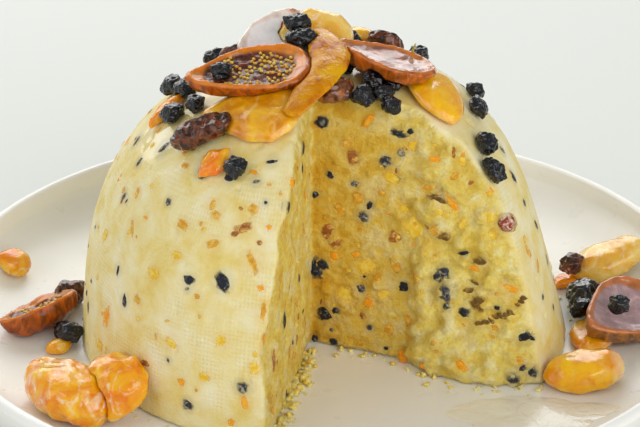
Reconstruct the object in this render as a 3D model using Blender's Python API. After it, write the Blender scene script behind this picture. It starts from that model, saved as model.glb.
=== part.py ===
"""Paskha on its plate: a domed sweet cheese with one slice cut out, glazed fruit on top and round its foot.

Lengths are millimetres and angles are degrees; each mesh is scaled to metres as it becomes an object.
+Z is up, the origin is the middle of the plate's foot, and the missing slice opens towards -Y.
"""
import math
import random

import bmesh
import bpy
from mathutils import Matrix, Vector, noise

METRES = 0.001
GAP = 0.35                    # air between pieces that touch
WALL_SAG = 0.9                # more air on the plate's wall, whose facets stand inside its true curve

# Plate: a round coupe plate, thrown in one piece with a foot ring.
PLATE_RADIUS = 135.0
PLATE_WELL = 8.0              # height of the flat well
PLATE_WELL_RADIUS = 100.0
PLATE_RISE = 19.5             # from the well to the top of the lip
PLATE_LIP = 4.4               # thickness of the lip
PLATE_WALL = 4.5              # thickness of the floor and the wall
FOOT_INNER = 66.0
FOOT_OUTER = 74.0
PLATE_SIDES = 48

# Cheese: the dome of a pudding basin, H high, its radius shrinking a little before the top rounds over.
STAND = PLATE_WELL + GAP      # height of the cheese's base
DOME_HEIGHT = 98.0
DOME_RADIUS = 86.4
DOME_TAPER = 0.172            # radius lost for each millimetre of height
DOME_SHOULDER = 3.39          # exponent of the rounding in height
DOME_CORNER = 2.8             # exponent of the rounding in radius
DOME_LEAN = -3.2              # sideways bulge at half height
DOME_SIDES = 52
DOME_STEPS = 14

# Missing slice: two upright cut faces that meet in an inner corner line.
CORNER_FOOT = (-4.8, -15.2)   # plan position of that line at the base
CORNER_TOP = (-4.5, -25.0)    # and at the height where it leaves the cheese
CORNER_HEIGHT = 96.0
LEFT_HEADING = -101.6         # way the left face runs out from the corner line
LEFT_STEP = 2.4               # how much further round its top part stands
LEFT_STEP_HEIGHT = 66.0       # height where that part begins
RIGHT_HEADING = -21.7         # way the right face runs out at its foot
RIGHT_TWIST = 18.2            # how far it has turned at the top
CUT_REACH = 112.0             # length of both faces in the cutter, well past the cheese
TORN_START = 36.0             # past this the right face broke instead of being sliced
TORN_PROUD = 2.4              # and stands proud of the slice by this
EDGE_ROUND = 2.6              # how far the crumbled edges of the cut fall back
LEFT_EDGE_ROUND = 1.3         # and the crisper outer edge of the left face
LEFT_EDGE_TOP = 84.0          # height up to which that edge is crisp
FOOT_BULGE = 4.5              # crumbs pressed out at the foot of the torn part
SIDE_BITE = 3.4               # hollow in the outer edge of the left face
SIDE_BITE_HEIGHT = 32.0
SIDE_BITE_REACH = 64.0

COLOURS = {
    "porcelain": ((0.83, 0.82, 0.77), 0.12),
    "cheese": ((0.87, 0.78, 0.42), 0.55),
    "fig": ((0.42, 0.16, 0.07), 0.30),
    "apricot": ((0.86, 0.42, 0.07), 0.25),
    "peel": ((0.88, 0.36, 0.03), 0.30),
    "raisin": ((0.20, 0.06, 0.03), 0.25),
    "currant": ((0.02, 0.02, 0.03), 0.35),
}

draws = random.Random(41)
laid = []                     # pieces laid so far, with the space each one takes


# ---------------------------------------------------------------- surfaces that carry the pieces

def dome_outline(height):
    """Radius of the cheese at a height above its base."""
    share = min(max(height / DOME_HEIGHT, 0.0), 1.0)
    full = DOME_RADIUS - DOME_TAPER * height
    return full * (1.0 - share ** DOME_SHOULDER) ** (1.0 / DOME_CORNER)


def dome_lean(height):
    """Sideways shift of the cheese's middle at a height above its base."""
    share = min(max(height / DOME_HEIGHT, 0.0), 1.0)
    return DOME_LEAN * math.sin(math.pi * share)


def dome_field(point):
    """Distance of a point near the dome from its surface, minus inside, and the way out."""
    height = max(point.z - STAND, 0.0)
    x = point.x - dome_lean(height)
    radius = max(math.hypot(x, point.y), 0.01)
    full = DOME_RADIUS - DOME_TAPER * height
    across = radius / full
    up = height / DOME_HEIGHT
    value = across ** DOME_CORNER + up ** DOME_SHOULDER - 1.0
    slope_out = DOME_CORNER * across ** (DOME_CORNER - 1.0) / full
    slope_up = DOME_SHOULDER * up ** (DOME_SHOULDER - 1.0) / DOME_HEIGHT + slope_out * across * DOME_TAPER
    steepness = max(math.hypot(slope_out, slope_up), 0.004)
    way_out = Vector((slope_out * x / radius, slope_out * point.y / radius, slope_up)) / steepness
    return value / steepness, way_out


def to_dome(point, clearance=0.0):
    """The point moved along the way out, or back, until it is this far from the dome."""
    moved = point.copy()
    for _ in range(12):
        distance, way_out = dome_field(moved)
        moved += way_out * (clearance - distance)
    return moved


def off_dome(point):
    """The point, moved out to touch the dome if it lies inside it."""
    distance, _ = dome_field(point)
    return to_dome(point, GAP) if distance < GAP else point


def dome_top(x, y):
    """Height of the dome's surface above a plan position."""
    low, high = 0.0, DOME_HEIGHT
    for _ in range(30):
        middle = (low + high) / 2.0
        if dome_outline(middle) > math.hypot(x - dome_lean(middle), y):
            low = middle
        else:
            high = middle
    return STAND + low


def plate_top(radius):
    """Height of the plate's upper surface at a distance from its middle."""
    wall = PLATE_RADIUS - PLATE_LIP / 2.0 - PLATE_WELL_RADIUS
    share = min(max((radius - PLATE_WELL_RADIUS) / wall, 0.0), 1.0)
    return PLATE_WELL + PLATE_RISE * (1.0 - math.sqrt(1.0 - share * share))


def plate_rest(radius):
    """Height at which a piece rests on the plate."""
    wall = min(max((radius - PLATE_WELL_RADIUS) / 10.0, 0.0), 1.0)
    return plate_top(radius) + GAP + WALL_SAG * wall


def off_plate(point):
    """The point, lifted to touch the plate if it lies below its surface."""
    floor = plate_rest(math.hypot(point.x, point.y))
    return Vector((point.x, point.y, max(point.z, floor)))


# ---------------------------------------------------------------- making objects

def make_material(name):
    colour, roughness = COLOURS[name]
    material = bpy.data.materials.new(name)
    material.use_nodes = True
    shader = material.node_tree.nodes["Principled BSDF"]
    shader.inputs["Base Color"].default_value = (*colour, 1.0)
    shader.inputs["Roughness"].default_value = roughness
    shader.inputs["Metallic"].default_value = 0.0
    return material


def make_object(name, shape, middle=(0.0, 0.0, 0.0)):
    """Object in metres from a bmesh in millimetres, its origin at the given middle."""
    bmesh.ops.recalc_face_normals(shape, faces=shape.faces[:])
    bmesh.ops.translate(shape, verts=shape.verts[:], vec=-Vector(middle))
    bmesh.ops.scale(shape, verts=shape.verts[:], vec=(METRES, METRES, METRES))
    mesh = bpy.data.meshes.new(name)
    shape.to_mesh(mesh)
    shape.free()
    piece = bpy.data.objects.new(name, mesh)
    piece.location = Vector(middle) * METRES
    bpy.context.scene.collection.objects.link(piece)
    return piece


def make_cutter(name, shape):
    cutter = make_object(name, shape)
    cutter.hide_render = True
    cutter.display_type = "WIRE"
    return cutter


def evaluated_shape(piece):
    """Triangles of the piece as its modifiers leave it, without loose scraps."""
    bpy.context.view_layer.update()
    mesh = piece.evaluated_get(bpy.context.evaluated_depsgraph_get()).to_mesh()
    shape = bmesh.new()
    shape.from_mesh(mesh)
    bmesh.ops.triangulate(shape, faces=shape.faces[:])
    islands = find_islands(shape)
    biggest = max(islands, key=len)
    scraps = [face for island in islands if island is not biggest for face in island]
    bmesh.ops.delete(shape, geom=scraps, context="FACES")
    loose = [vert for vert in shape.verts if not vert.link_faces]
    bmesh.ops.delete(shape, geom=loose, context="VERTS")
    return shape


def apply_modifiers(piece):
    """Put the evaluated shape in the piece's mesh; where the exact solver leaves a crack, use the other."""
    shape = evaluated_shape(piece)
    if any(len(edge.link_faces) != 2 for edge in shape.edges):
        shape.free()
        for step in piece.modifiers:
            step.solver = "MANIFOLD"
        shape = evaluated_shape(piece)
    piece.modifiers.clear()
    shape.to_mesh(piece.data)
    shape.free()


def find_islands(shape):
    """Lists of the faces that hang together."""
    islands = []
    seen = set()
    for start in shape.faces:
        if start in seen:
            continue
        seen.add(start)
        island = [start]
        for face in island:
            for edge in face.edges:
                for other in edge.link_faces:
                    if other not in seen:
                        seen.add(other)
                        island.append(other)
        islands.append(island)
    return islands


def boolean(piece, operation, cutter):
    step = piece.modifiers.new(cutter.name, "BOOLEAN")
    step.operation = operation
    step.solver = "EXACT"
    step.object = cutter


def finish(piece, material):
    piece.data.materials.clear()
    piece.data.materials.append(materials[material])
    piece.data.shade_smooth()
    piece.data.set_sharp_from_angle(angle=math.radians(42.0))
    piece.parent = paskha


def spans(shape):
    """Lowest and highest corner of a bmesh."""
    low = Vector([min(vert.co[axis] for vert in shape.verts) for axis in range(3)])
    high = Vector([max(vert.co[axis] for vert in shape.verts) for axis in range(3)])
    return low, high


def lay(name, shape, material, plated=False):
    """Add a piece of fruit: fitted to the dome and the plate, and cut by the pieces that it lies on."""
    for vert in shape.verts:
        vert.co = off_dome(vert.co)
        if plated:
            vert.co = off_plate(vert.co)
    bmesh.ops.recalc_face_normals(shape, faces=shape.faces[:])
    low, high = spans(shape)
    space = shape.copy()
    space.normal_update()
    for vert in space.verts:
        vert.co += vert.normal * GAP
    piece = make_object(name, shape, (low + high) / 2.0)
    below = [other for other in laid if boxes_meet(low, high, other["low"], other["high"])]
    for other in below:
        boolean(piece, "DIFFERENCE", other["space"])
    if below:
        apply_modifiers(piece)
    laid.append({"low": low, "high": high, "space": make_cutter("space_" + name, space)})
    finish(piece, material)
    return piece


def boxes_meet(low_a, high_a, low_b, high_b):
    return all(low_a[i] - GAP < high_b[i] and low_b[i] - GAP < high_a[i] for i in range(3))


# ---------------------------------------------------------------- shapes in their own axes

def stacked_rings(rings, closed_top, closed_bottom):
    """Closed bmesh through rings of points with equal counts; the ends run to a point each."""
    shape = bmesh.new()
    loops = [[shape.verts.new(point) for point in ring] for ring in rings]
    sides = len(loops[0])
    for upper, lower in zip(loops, loops[1:]):
        for i in range(sides):
            j = (i + 1) % sides
            shape.faces.new((upper[i], upper[j], lower[j], lower[i]))
    for loop, point in ((loops[0], closed_top), (loops[-1], closed_bottom)):
        tip = shape.verts.new(point)
        for i in range(sides):
            shape.faces.new((loop[i], loop[(i + 1) % sides], tip))
    bmesh.ops.recalc_face_normals(shape, faces=shape.faces[:])
    return shape


def wander(point):
    """Smooth vector noise, the same in every run."""
    return Vector([noise.noise(point + Vector((17.0 * axis, 0.0, 5.0 * axis))) for axis in range(3)])


def outlined_form(length, width, levels, sides, taper=0.0, lobes=0.0, lobe_count=3, lobe_at=0.0, uneven=0.0):
    """Closed form inside an egg-shaped outline, its levels given as (share of the outline, height)."""
    shift = Vector((draws.uniform(-50, 50), draws.uniform(-50, 50), draws.uniform(-50, 50)))

    def on_outline(angle, share, height):
        swell = 1.0 + lobes * math.cos(lobe_count * (angle - math.radians(lobe_at)))
        x = length / 2.0 * math.cos(angle) * swell * share
        y = width / 2.0 * math.sin(angle) * (1.0 + taper * math.cos(angle)) * swell * share
        point = Vector((x, y, height))
        return point + wander(point * 0.16 + shift) * uneven

    rings = [[on_outline(math.tau * i / sides, share, height) for i in range(sides)]
             for share, height in levels[1:-1]]
    return stacked_rings(rings, (0.0, 0.0, levels[0][1]), (0.0, 0.0, levels[-1][1]))


def fig_form(length, width, depth):
    """Half a fig: a thick rim round its dished pulp, the skin rounded below, the stem at -X."""
    levels = ((0.0, -1.9), (0.5, -1.6), (0.78, -0.9), (0.92, 0.3), (1.0, -0.9),
              (0.9, -0.55 * depth), (0.55, -0.9 * depth), (0.0, -depth))
    return outlined_form(length, width, levels, 16, taper=0.42, uneven=0.9)


def cushion_form(length, width, thick, sides=15, **outline):
    """Soft flat piece with rounded edges, lying on its own plane."""
    levels = ((0.0, thick), (0.55, 0.96 * thick), (0.88, 0.74 * thick), (1.0, 0.36 * thick),
              (0.9, 0.06 * thick), (0.5, 0.0), (0.0, 0.0))
    return outlined_form(length, width, levels, sides, **outline)


def peel_form(length, width):
    """Cut square of candied peel."""
    return cushion_form(length, width, 3.4, 10, lobes=0.14, lobe_count=4)


def wrinkled_form(length, width, height, steps, depth):
    """Ellipsoid with the folds of dried fruit."""
    shape = bmesh.new()
    bmesh.ops.create_icosphere(shape, subdivisions=steps, radius=1.0)
    shift = Vector((draws.uniform(-50, 50), draws.uniform(-50, 50), draws.uniform(-50, 50)))
    for vert in shape.verts:
        fold = 1.0 + depth * noise.noise(vert.co * 1.9 + shift)
        vert.co = Vector((vert.co.x * length, vert.co.y * width, vert.co.z * height)) * fold / 2.0
    return shape


def strip_form(route, width, thick, sides=10):
    """Flat strip with rounded edges along points in space, its ends rounded off."""
    last = len(route) - 1
    rings = []
    for i, point in enumerate(route):
        along = (route[min(i + 1, last)] - route[max(i - 1, 0)]).normalized()
        across = along.cross(Vector((0.0, 0.0, 1.0))).normalized()
        up = across.cross(along).normalized()
        share = math.sin(math.pi * (0.09 + 0.82 * i / last)) ** 0.5
        rings.append([point + across * (width / 2.0 * share * math.cos(math.tau * k / sides))
                      + up * (thick / 2.0 * share * math.sin(math.tau * k / sides)) for k in range(sides)])
    first_way = (route[0] - route[1]).normalized() * 1.5
    last_way = (route[-1] - route[-2]).normalized() * 1.5
    return stacked_rings(rings, route[0] + first_way, route[-1] + last_way)


# ---------------------------------------------------------------- ways of laying a shape down

def stand_rigid(shape, place, turn=0.0, tilt=0.0, pitch=0.0):
    """Stiff piece at a place in space: tilted about its length, pitched nose down, then turned."""
    moved = (Matrix.Translation(Vector(place))
             @ Matrix.Rotation(math.radians(turn), 4, "Z")
             @ Matrix.Rotation(math.radians(pitch), 4, "Y")
             @ Matrix.Rotation(math.radians(tilt), 4, "X"))
    shape.transform(moved)
    return shape


def on_top(x, y, lift):
    """Place at a height above the dome's surface."""
    return (x, y, dome_top(x, y) + lift)


def on_plate(x, y, lift):
    """Place at a height above the plate."""
    return (x, y, plate_top(math.hypot(x, y)) + lift)


def drape(shape, x, y, turn=0.0):
    """Soft piece bent over the dome: its own plane follows the surface round one plan position."""
    start = Vector((x, y, dome_top(x, y)))
    _, way_out = dome_field(start)
    east = Vector((1.0, 0.0, 0.0))
    east = (east - way_out * east.dot(way_out)).normalized()
    north = way_out.cross(east)
    swing = Matrix.Rotation(math.radians(turn), 3, "Z")
    for vert in shape.verts:
        flat = swing @ vert.co
        foot = to_dome(start + east * flat.x + north * flat.y)
        _, here_out = dome_field(foot)
        vert.co = foot + here_out * (flat.z + GAP)
    return shape


def spread(shape, x, y, turn=0.0):
    """Soft piece settled on the plate: it keeps its own height above the plate all over."""
    swing = Matrix.Rotation(math.radians(turn), 3, "Z")
    for vert in shape.verts:
        flat = swing @ vert.co
        foot = math.hypot(x + flat.x, y + flat.y)
        vert.co = Vector((x + flat.x, y + flat.y, plate_rest(foot) + flat.z))
    return shape


def nestle(x, y, size, stretch=1.0):
    """Dried currant or raisin lying on the dome, turned at random."""
    shape = wrinkled_form(size * stretch, size, size * 0.85, 2, 0.42)
    start = Vector((x, y, dome_top(x, y)))
    _, way_out = dome_field(start)
    spin = Matrix.Rotation(draws.uniform(0.0, math.tau), 4, "Z")
    shape.transform(Matrix.Translation(start + way_out * size * 0.36)
                    @ way_out.to_track_quat("Z", "Y").to_matrix().to_4x4() @ spin)
    return shape


def smooth_route(stops, steps):
    """Points along a smooth curve through the stops."""
    ends = [stops[0] * 2.0 - stops[1], *stops, stops[-1] * 2.0 - stops[-2]]
    route = []
    for a, b, c, d in zip(ends, ends[1:], ends[2:], ends[3:]):
        for i in range(steps):
            t = i / steps
            route.append((b * 2.0 + (c - a) * t + (a * 2.0 - b * 5.0 + c * 4.0 - d) * t * t
                          + (b * 3.0 - a - c * 3.0 + d) * t * t * t) / 2.0)
    route.append(stops[-1])
    return route


# ---------------------------------------------------------------- plate and cheese

def make_plate():
    """Turned plate, from the middle of its upper side out over the lip and back under the foot."""
    lip_middle = PLATE_RADIUS - PLATE_LIP / 2.0
    lip_height = PLATE_WELL + PLATE_RISE - PLATE_LIP / 2.0
    wall = lip_middle - PLATE_WELL_RADIUS
    profile = [(PLATE_WELL_RADIUS, PLATE_WELL)]
    for angle in (14.0, 32.0, 50.0, 68.0):
        inner = wall * math.sin(math.radians(angle))
        profile.append((PLATE_WELL_RADIUS + inner, plate_top(PLATE_WELL_RADIUS + inner)))
    for angle in (135.0, 90.0, 45.0, 0.0):
        profile.append((lip_middle + PLATE_LIP / 2.0 * math.cos(math.radians(angle)),
                        lip_height + PLATE_LIP / 2.0 * math.sin(math.radians(angle))))
    for angle in (64.0, 38.0, 12.0):
        inner = wall * math.sin(math.radians(angle))
        radius = PLATE_WELL_RADIUS + inner + PLATE_WALL * math.sin(math.radians(angle)) * 0.6
        profile.append((radius, plate_top(PLATE_WELL_RADIUS + inner) - PLATE_WALL))
    underside = PLATE_WELL - PLATE_WALL
    profile += [(FOOT_OUTER + 3.0, underside), (FOOT_OUTER, 0.0),
                (FOOT_INNER, 0.0), (FOOT_INNER - 1.5, underside)]
    turns = [math.tau * i / PLATE_SIDES for i in range(PLATE_SIDES)]
    rings = [[(radius * math.cos(turn), radius * math.sin(turn), z) for turn in turns]
             for radius, z in profile]
    shape = stacked_rings(rings, (0.0, 0.0, PLATE_WELL), (0.0, 0.0, underside))
    finish(make_object("plate", shape), "porcelain")


def dome_steps():
    """Heights of the dome's rings, evenly spaced along its outline from the base to near the top."""
    fine = [DOME_HEIGHT * (1.0 - (1.0 - i / 600.0) ** 2) for i in range(601)]
    run = [0.0]
    for a, b in zip(fine, fine[1:]):
        run.append(run[-1] + math.hypot(b - a, dome_outline(b) - dome_outline(a)))
    picks = [run[-1] * i / DOME_STEPS for i in range(DOME_STEPS)]
    return [min(zip(run, fine), key=lambda pair: abs(pair[0] - pick))[1] for pick in picks]


def dome_form():
    rings = [[(dome_lean(h) + dome_outline(h) * math.cos(math.tau * i / DOME_SIDES),
               dome_outline(h) * math.sin(math.tau * i / DOME_SIDES), STAND + h)
              for i in range(DOME_SIDES)] for h in dome_steps()]
    return stacked_rings(rings, (0.0, 0.0, STAND), (0.0, 0.0, STAND + DOME_HEIGHT))


def corner_line(height):
    """Plan position of the line where both cut faces meet."""
    share = height / CORNER_HEIGHT
    return Vector(CORNER_FOOT).lerp(Vector(CORNER_TOP), share)


def face_point(face, out, height):
    """Point of a cut face: this far out from the corner line, at a height above the cheese's base."""
    if face == "left":
        step = min(max((height - LEFT_STEP_HEIGHT) / 8.0, 0.0), 1.0)
        heading = math.radians(LEFT_HEADING + LEFT_STEP * step)
        into = Vector((math.sin(heading), -math.cos(heading)))
    else:
        heading = math.radians(RIGHT_HEADING + RIGHT_TWIST * height / CORNER_HEIGHT)
        into = Vector((-math.sin(heading), math.cos(heading)))
    flat = corner_line(height) + Vector((math.cos(heading), math.sin(heading))) * out
    point = Vector((flat.x, flat.y, STAND + height))
    depth, _ = dome_field(point)
    edge = LEFT_EDGE_ROUND if face == "left" and height < LEFT_EDGE_TOP else EDGE_ROUND
    back = face_relief(face, out, height) + edge * math.exp(min(depth, 0.0) / 3.0)
    return point + Vector((into.x, into.y, 0.0)) * (back * min(out / 6.0, 1.0))


def face_relief(face, out, height):
    """How far a cut face lies back from its plane: crumbs, smears and the torn part."""
    coarse = noise.noise(Vector((out * 0.07, height * 0.05, 3.0 if face == "left" else 11.0)))
    fine = noise.noise(Vector((out * 0.21, height * 0.16, 7.0 if face == "left" else 19.0)))
    if face == "left":
        bite = math.hypot((height - SIDE_BITE_HEIGHT) / 7.5, (out - SIDE_BITE_REACH) / 14.0)
        return 1.1 * coarse + 0.7 * fine + SIDE_BITE * math.exp(-bite * bite)
    start = TORN_START + 5.0 * noise.noise(Vector((height * 0.09, 5.0, 2.0)))
    torn = min(max((out - start) / 4.0, 0.0), 1.0)
    foot = FOOT_BULGE * math.exp(-(height / 16.0) ** 2) * math.exp(-((out - 56.0) / 17.0) ** 2)
    return (0.8 + 2.0 * torn) * coarse + (0.5 + 1.8 * torn) * fine - TORN_PROUD * torn - foot


def slice_form():
    """Space of the missing slice, with the relief of both cut faces on its sides."""
    heights = [-6.0, 0.0, 9.0, 18.0, 27.0, 36.0, 45.0, 54.0, 63.0, 72.0, 80.0, 87.0, 92.0, 96.0, 99.0, 106.0]
    columns = [CUT_REACH * i / 15.0 for i in range(16)]
    far = []
    for i in range(1, 5):
        heading = math.radians(RIGHT_HEADING + (LEFT_HEADING - RIGHT_HEADING) * i / 5.0)
        far.append(Vector((math.cos(heading), math.sin(heading))) * CUT_REACH * 1.3)
    rings = []
    for height in heights:
        right = [face_point("right", out, height) for out in columns]
        left = [face_point("left", out, height) for out in reversed(columns[1:])]
        middle = [Vector((spot.x, spot.y, STAND + height)) for spot in far]
        rings.append(right + middle + left)
    shape = bmesh.new()
    loops = [[shape.verts.new(point) for point in ring] for ring in rings]
    count = len(loops[0])
    for lower, upper in zip(loops, loops[1:]):
        for i in range(count):
            j = (i + 1) % count
            shape.faces.new((lower[i], lower[j], upper[j], upper[i]))
    shape.faces.new(loops[0])
    shape.faces.new(loops[-1])
    bmesh.ops.triangulate(shape, faces=shape.faces[:])
    return shape


# Larger fruit pieces that show on the right cut face: distance out from the corner line, height
# above the base, length along the face, length up it.
FACE_FRUIT = (
    (4, 87, 5, 4), (29, 84, 5, 3), (14, 75, 6, 7), (25, 74, 5, 5), (41, 77, 4, 3), (48, 75, 4, 7),
    (48, 62, 4, 7), (60, 58, 5, 5), (66, 55, 5, 5), (61, 50, 6, 5), (43, 52, 5, 4), (36, 50, 6, 9),
    (28, 45, 6, 8), (7, 46, 8, 9), (5, 31, 7, 7), (33, 28, 4, 4), (47, 33, 7, 15), (61, 28, 6, 5),
    (70, 33, 6, 3), (20, 15, 4, 4), (9, 12, 8, 6), (29, 11, 5, 5), (36, 6, 5, 7), (57, 7, 5, 5),
    (66, 21, 9, 4), (73, 28, 9, 4), (75, 17, 7, 4), (74, 6, 10, 8),
)
# Lumps of cheese pushed out of the torn part, in the same measures.
FACE_LUMPS = ((45, 6, 11, 8), (63, 12, 12, 9), (52, 17, 9, 8), (56, 68, 9, 8), (50, 44, 10, 8))
# The same on the left cut face.
SIDE_FRUIT = ((41, 32, 5, 7), (54, 23, 5, 9), (38, 71, 5, 4), (24, 55, 4, 6), (30, 14, 5, 4))
# On the skin: degrees round from +X, height above the base, length round, length up.
SKIN_FRUIT = (
    (-113, 51, 5, 7), (-149, 25, 4, 8), (-110, 67, 7, 4), (-120, 11, 5, 4), (-107, 20, 5, 5),
    (-119, 76, 4, 4), (-119, 69, 5, 4), (-122, 49, 5, 3), (-136, 68, 4, 4), (-142, 34, 4, 5),
    (-10, 62, 4, 5), (-12, 30, 4, 5),
)
BACK_FRUIT = 16               # more of them spread over the far side by rule
FACE_BUMP = 1.3               # how far the fruit stands out of a cut face
SKIN_BUMP = 0.5               # and out of the skin


def bump(start, way_out, along, up, proud):
    """Squat wrinkled lump set into the cheese, standing this far out of it."""
    shape = bmesh.new()
    bmesh.ops.create_icosphere(shape, subdivisions=1, radius=0.5)
    shift = Vector((draws.uniform(-50, 50), draws.uniform(-50, 50), draws.uniform(-50, 50)))
    depth = 0.6 * min(along, up)
    side = Vector((0.0, 0.0, 1.0)).cross(way_out).normalized()
    rise = way_out.cross(side)
    for vert in shape.verts:
        folded = vert.co * (1.1 + 0.35 * noise.noise(vert.co * 2.3 + shift))
        vert.co = start + side * folded.x * along + rise * folded.y * up + way_out * (
            folded.z * 2.0 * depth - depth + proud)
    return shape


def fruit_bumps():
    """Bumps on both cut faces and on the skin."""
    shapes = []
    for face, spots, proud in (("right", FACE_FRUIT, FACE_BUMP), ("right", FACE_LUMPS, FACE_BUMP * 1.5),
                               ("left", SIDE_FRUIT, FACE_BUMP)):
        for out, height, along, up in spots:
            here = face_point(face, out, height)
            beside = face_point(face, out + 2.0, height) - here
            way_out = Vector((0.0, 0.0, 1.0)).cross(beside).normalized()
            way_out = -way_out if face == "right" else way_out
            shapes.append(bump(here, way_out, along, up, proud))
    rule = [(20.0 + 180.0 * (i + 0.5) / BACK_FRUIT + draws.uniform(-6, 6), 8.0 + 67.0 * ((i * 0.618) % 1.0),
             draws.uniform(4.0, 6.0), draws.uniform(4.0, 7.0)) for i in range(BACK_FRUIT)]
    for degrees, height, along, up in (*SKIN_FRUIT, *rule):
        heading = math.radians(degrees)
        radius = dome_outline(height)
        x = dome_lean(height) + radius * math.cos(heading)
        start = Vector((x, radius * math.sin(heading), STAND + height))
        _, way_out = dome_field(start)
        shapes.append(bump(start, way_out, along, up, SKIN_BUMP))
    return shapes


def make_cheese():
    """Dome less the missing slice, with the larger fruit pieces that show fused on as low bumps."""
    cheese = make_object("cheese", dome_form())
    cutter = make_cutter("space_slice", slice_form())
    boolean(cheese, "DIFFERENCE", cutter)
    apply_modifiers(cheese)
    bpy.data.objects.remove(cutter)
    bumps = bpy.data.collections.new("bumps")
    bpy.context.scene.collection.children.link(bumps)
    for i, shape in enumerate(fruit_bumps()):
        lump = make_cutter(f"bump_{i}", shape)
        bpy.context.scene.collection.objects.unlink(lump)
        bumps.objects.link(lump)
    join = cheese.modifiers.new("bumps", "BOOLEAN")
    join.operation = "UNION"
    join.solver = "EXACT"
    join.operand_type = "COLLECTION"
    join.collection = bumps
    apply_modifiers(cheese)
    for lump in list(bumps.objects):
        bpy.data.objects.remove(lump)
    bpy.data.collections.remove(bumps)
    finish(cheese, "cheese")


# ---------------------------------------------------------------- the fruit

def make_top_fruit():
    """Glazed fruit heaped on the dome, from the bottom layer up."""
    lay("apricot_under", drape(cushion_form(37, 24, 4.5, lobes=0.17, lobe_at=-78, uneven=1.0),
                               -21.0, -32.0, -8.0), "apricot")
    lay("apricot_right", drape(cushion_form(21, 26, 5.5, lobes=0.08, lobe_at=60, uneven=1.2),
                               36.5, -15.5, 10.0), "apricot")
    lay("apricot_rear", drape(cushion_form(26, 20, 5.5, lobes=0.08, uneven=1.2), 14.0, 40.0, 20.0), "apricot")
    lay("raisin_front", drape(cushion_form(23, 10, 7.0, 14, uneven=1.6), -37.5, -34.0, 6.0), "raisin")
    lay("raisin_centre", drape(cushion_form(15, 12, 7.0, 14, uneven=1.6), 2.6, -24.5, 0.0), "raisin")
    lay("raisin_back", drape(cushion_form(12, 8, 6.0, 12, uneven=1.4), -28.8, 10.0, 12.0), "raisin")
    lay("raisin_crest", drape(cushion_form(13, 9, 6.0, 12, uneven=1.4), 21.0, 26.0, 5.0), "raisin")
    lay("peel_left", drape(peel_form(15, 7), -52.0, -10.0, 28.0), "peel")
    lay("peel_front", drape(peel_form(12, 9), -34.6, -45.0, 38.0), "peel")

    lay("apricot_back", stand_rigid(cushion_form(28, 22, 7.0, uneven=1.2), on_top(-3.0, 13.0, 4.0),
                                    8.0, 42.0), "apricot")
    lay("fig_back", stand_rigid(fig_form(30, 21, 8.0), on_top(-16.0, 6.0, 9.0), 24.0, 28.0, -8.0), "fig")
    lay("fig_front", stand_rigid(fig_form(43, 25, 9.0), on_top(-25.0, -20.0, 10.0), 8.0, 12.0, -6.0), "fig")

    for i, (x, y, size, stretch) in enumerate((
            (12.0, -28.0, 8.0, 1.0), (21.2, -29.8, 7.0, 1.0), (15.5, -18.5, 8.0, 1.1),
            (22.0, -17.0, 7.5, 1.2), (5.8, -7.0, 8.0, 1.2), (18.4, -24.2, 6.5, 1.3),
            (50.2, 6.5, 7.0, 1.1), (50.1, -8.1, 6.5, 1.5), (51.6, -23.9, 7.5, 1.2),
            (53.6, -30.4, 7.5, 1.3), (-50.5, 5.5, 8.0, 1.4), (-45.5, -5.5, 8.0, 1.3),
            (-48.8, -17.5, 8.0, 1.2), (-41.5, -18.0, 6.5, 1.3), (-27.2, -49.6, 7.6, 1.0),
            (-37.0, 20.0, 7.0, 1.2), (8.0, 21.0, 8.5, 1.3), (-12.0, 45.0, 7.5, 1.1), (33.0, 36.0, 7.5, 1.2))):
        lay(f"currant_{i + 1}", nestle(x, y, size, stretch), "currant")

    for name, size, place in (("currant_on_fig", (7.0, 6.6, 6.4), (-33.5, -23.0, 12.6)),
                              ("currant_high_1", (9.5, 7.0, 6.5), (-9.0, 3.0, 14.0)),
                              ("currant_high_2", (11.0, 8.0, 8.0), (-7.5, -4.0, 10.5))):
        lay(name, stand_rigid(wrinkled_form(*size, 2, 0.45), on_top(*place)), "currant")

    route = smooth_route([Vector(on_top(*stop)) for stop in (
        (-2.0, 1.0, 11.5), (0.6, -9.0, 10.0), (1.4, -18.0, 8.5), (-3.0, -29.0, 7.0), (-11.0, -40.5, 5.5))], 3)
    lay("apricot_strap", strip_form(route, 14.5, 4.6), "apricot")
    lay("fig_right", stand_rigid(fig_form(36, 23, 9.0), on_top(20.5, -9.5, 8.5), -20.0, -6.0, 12.0), "fig")


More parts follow.
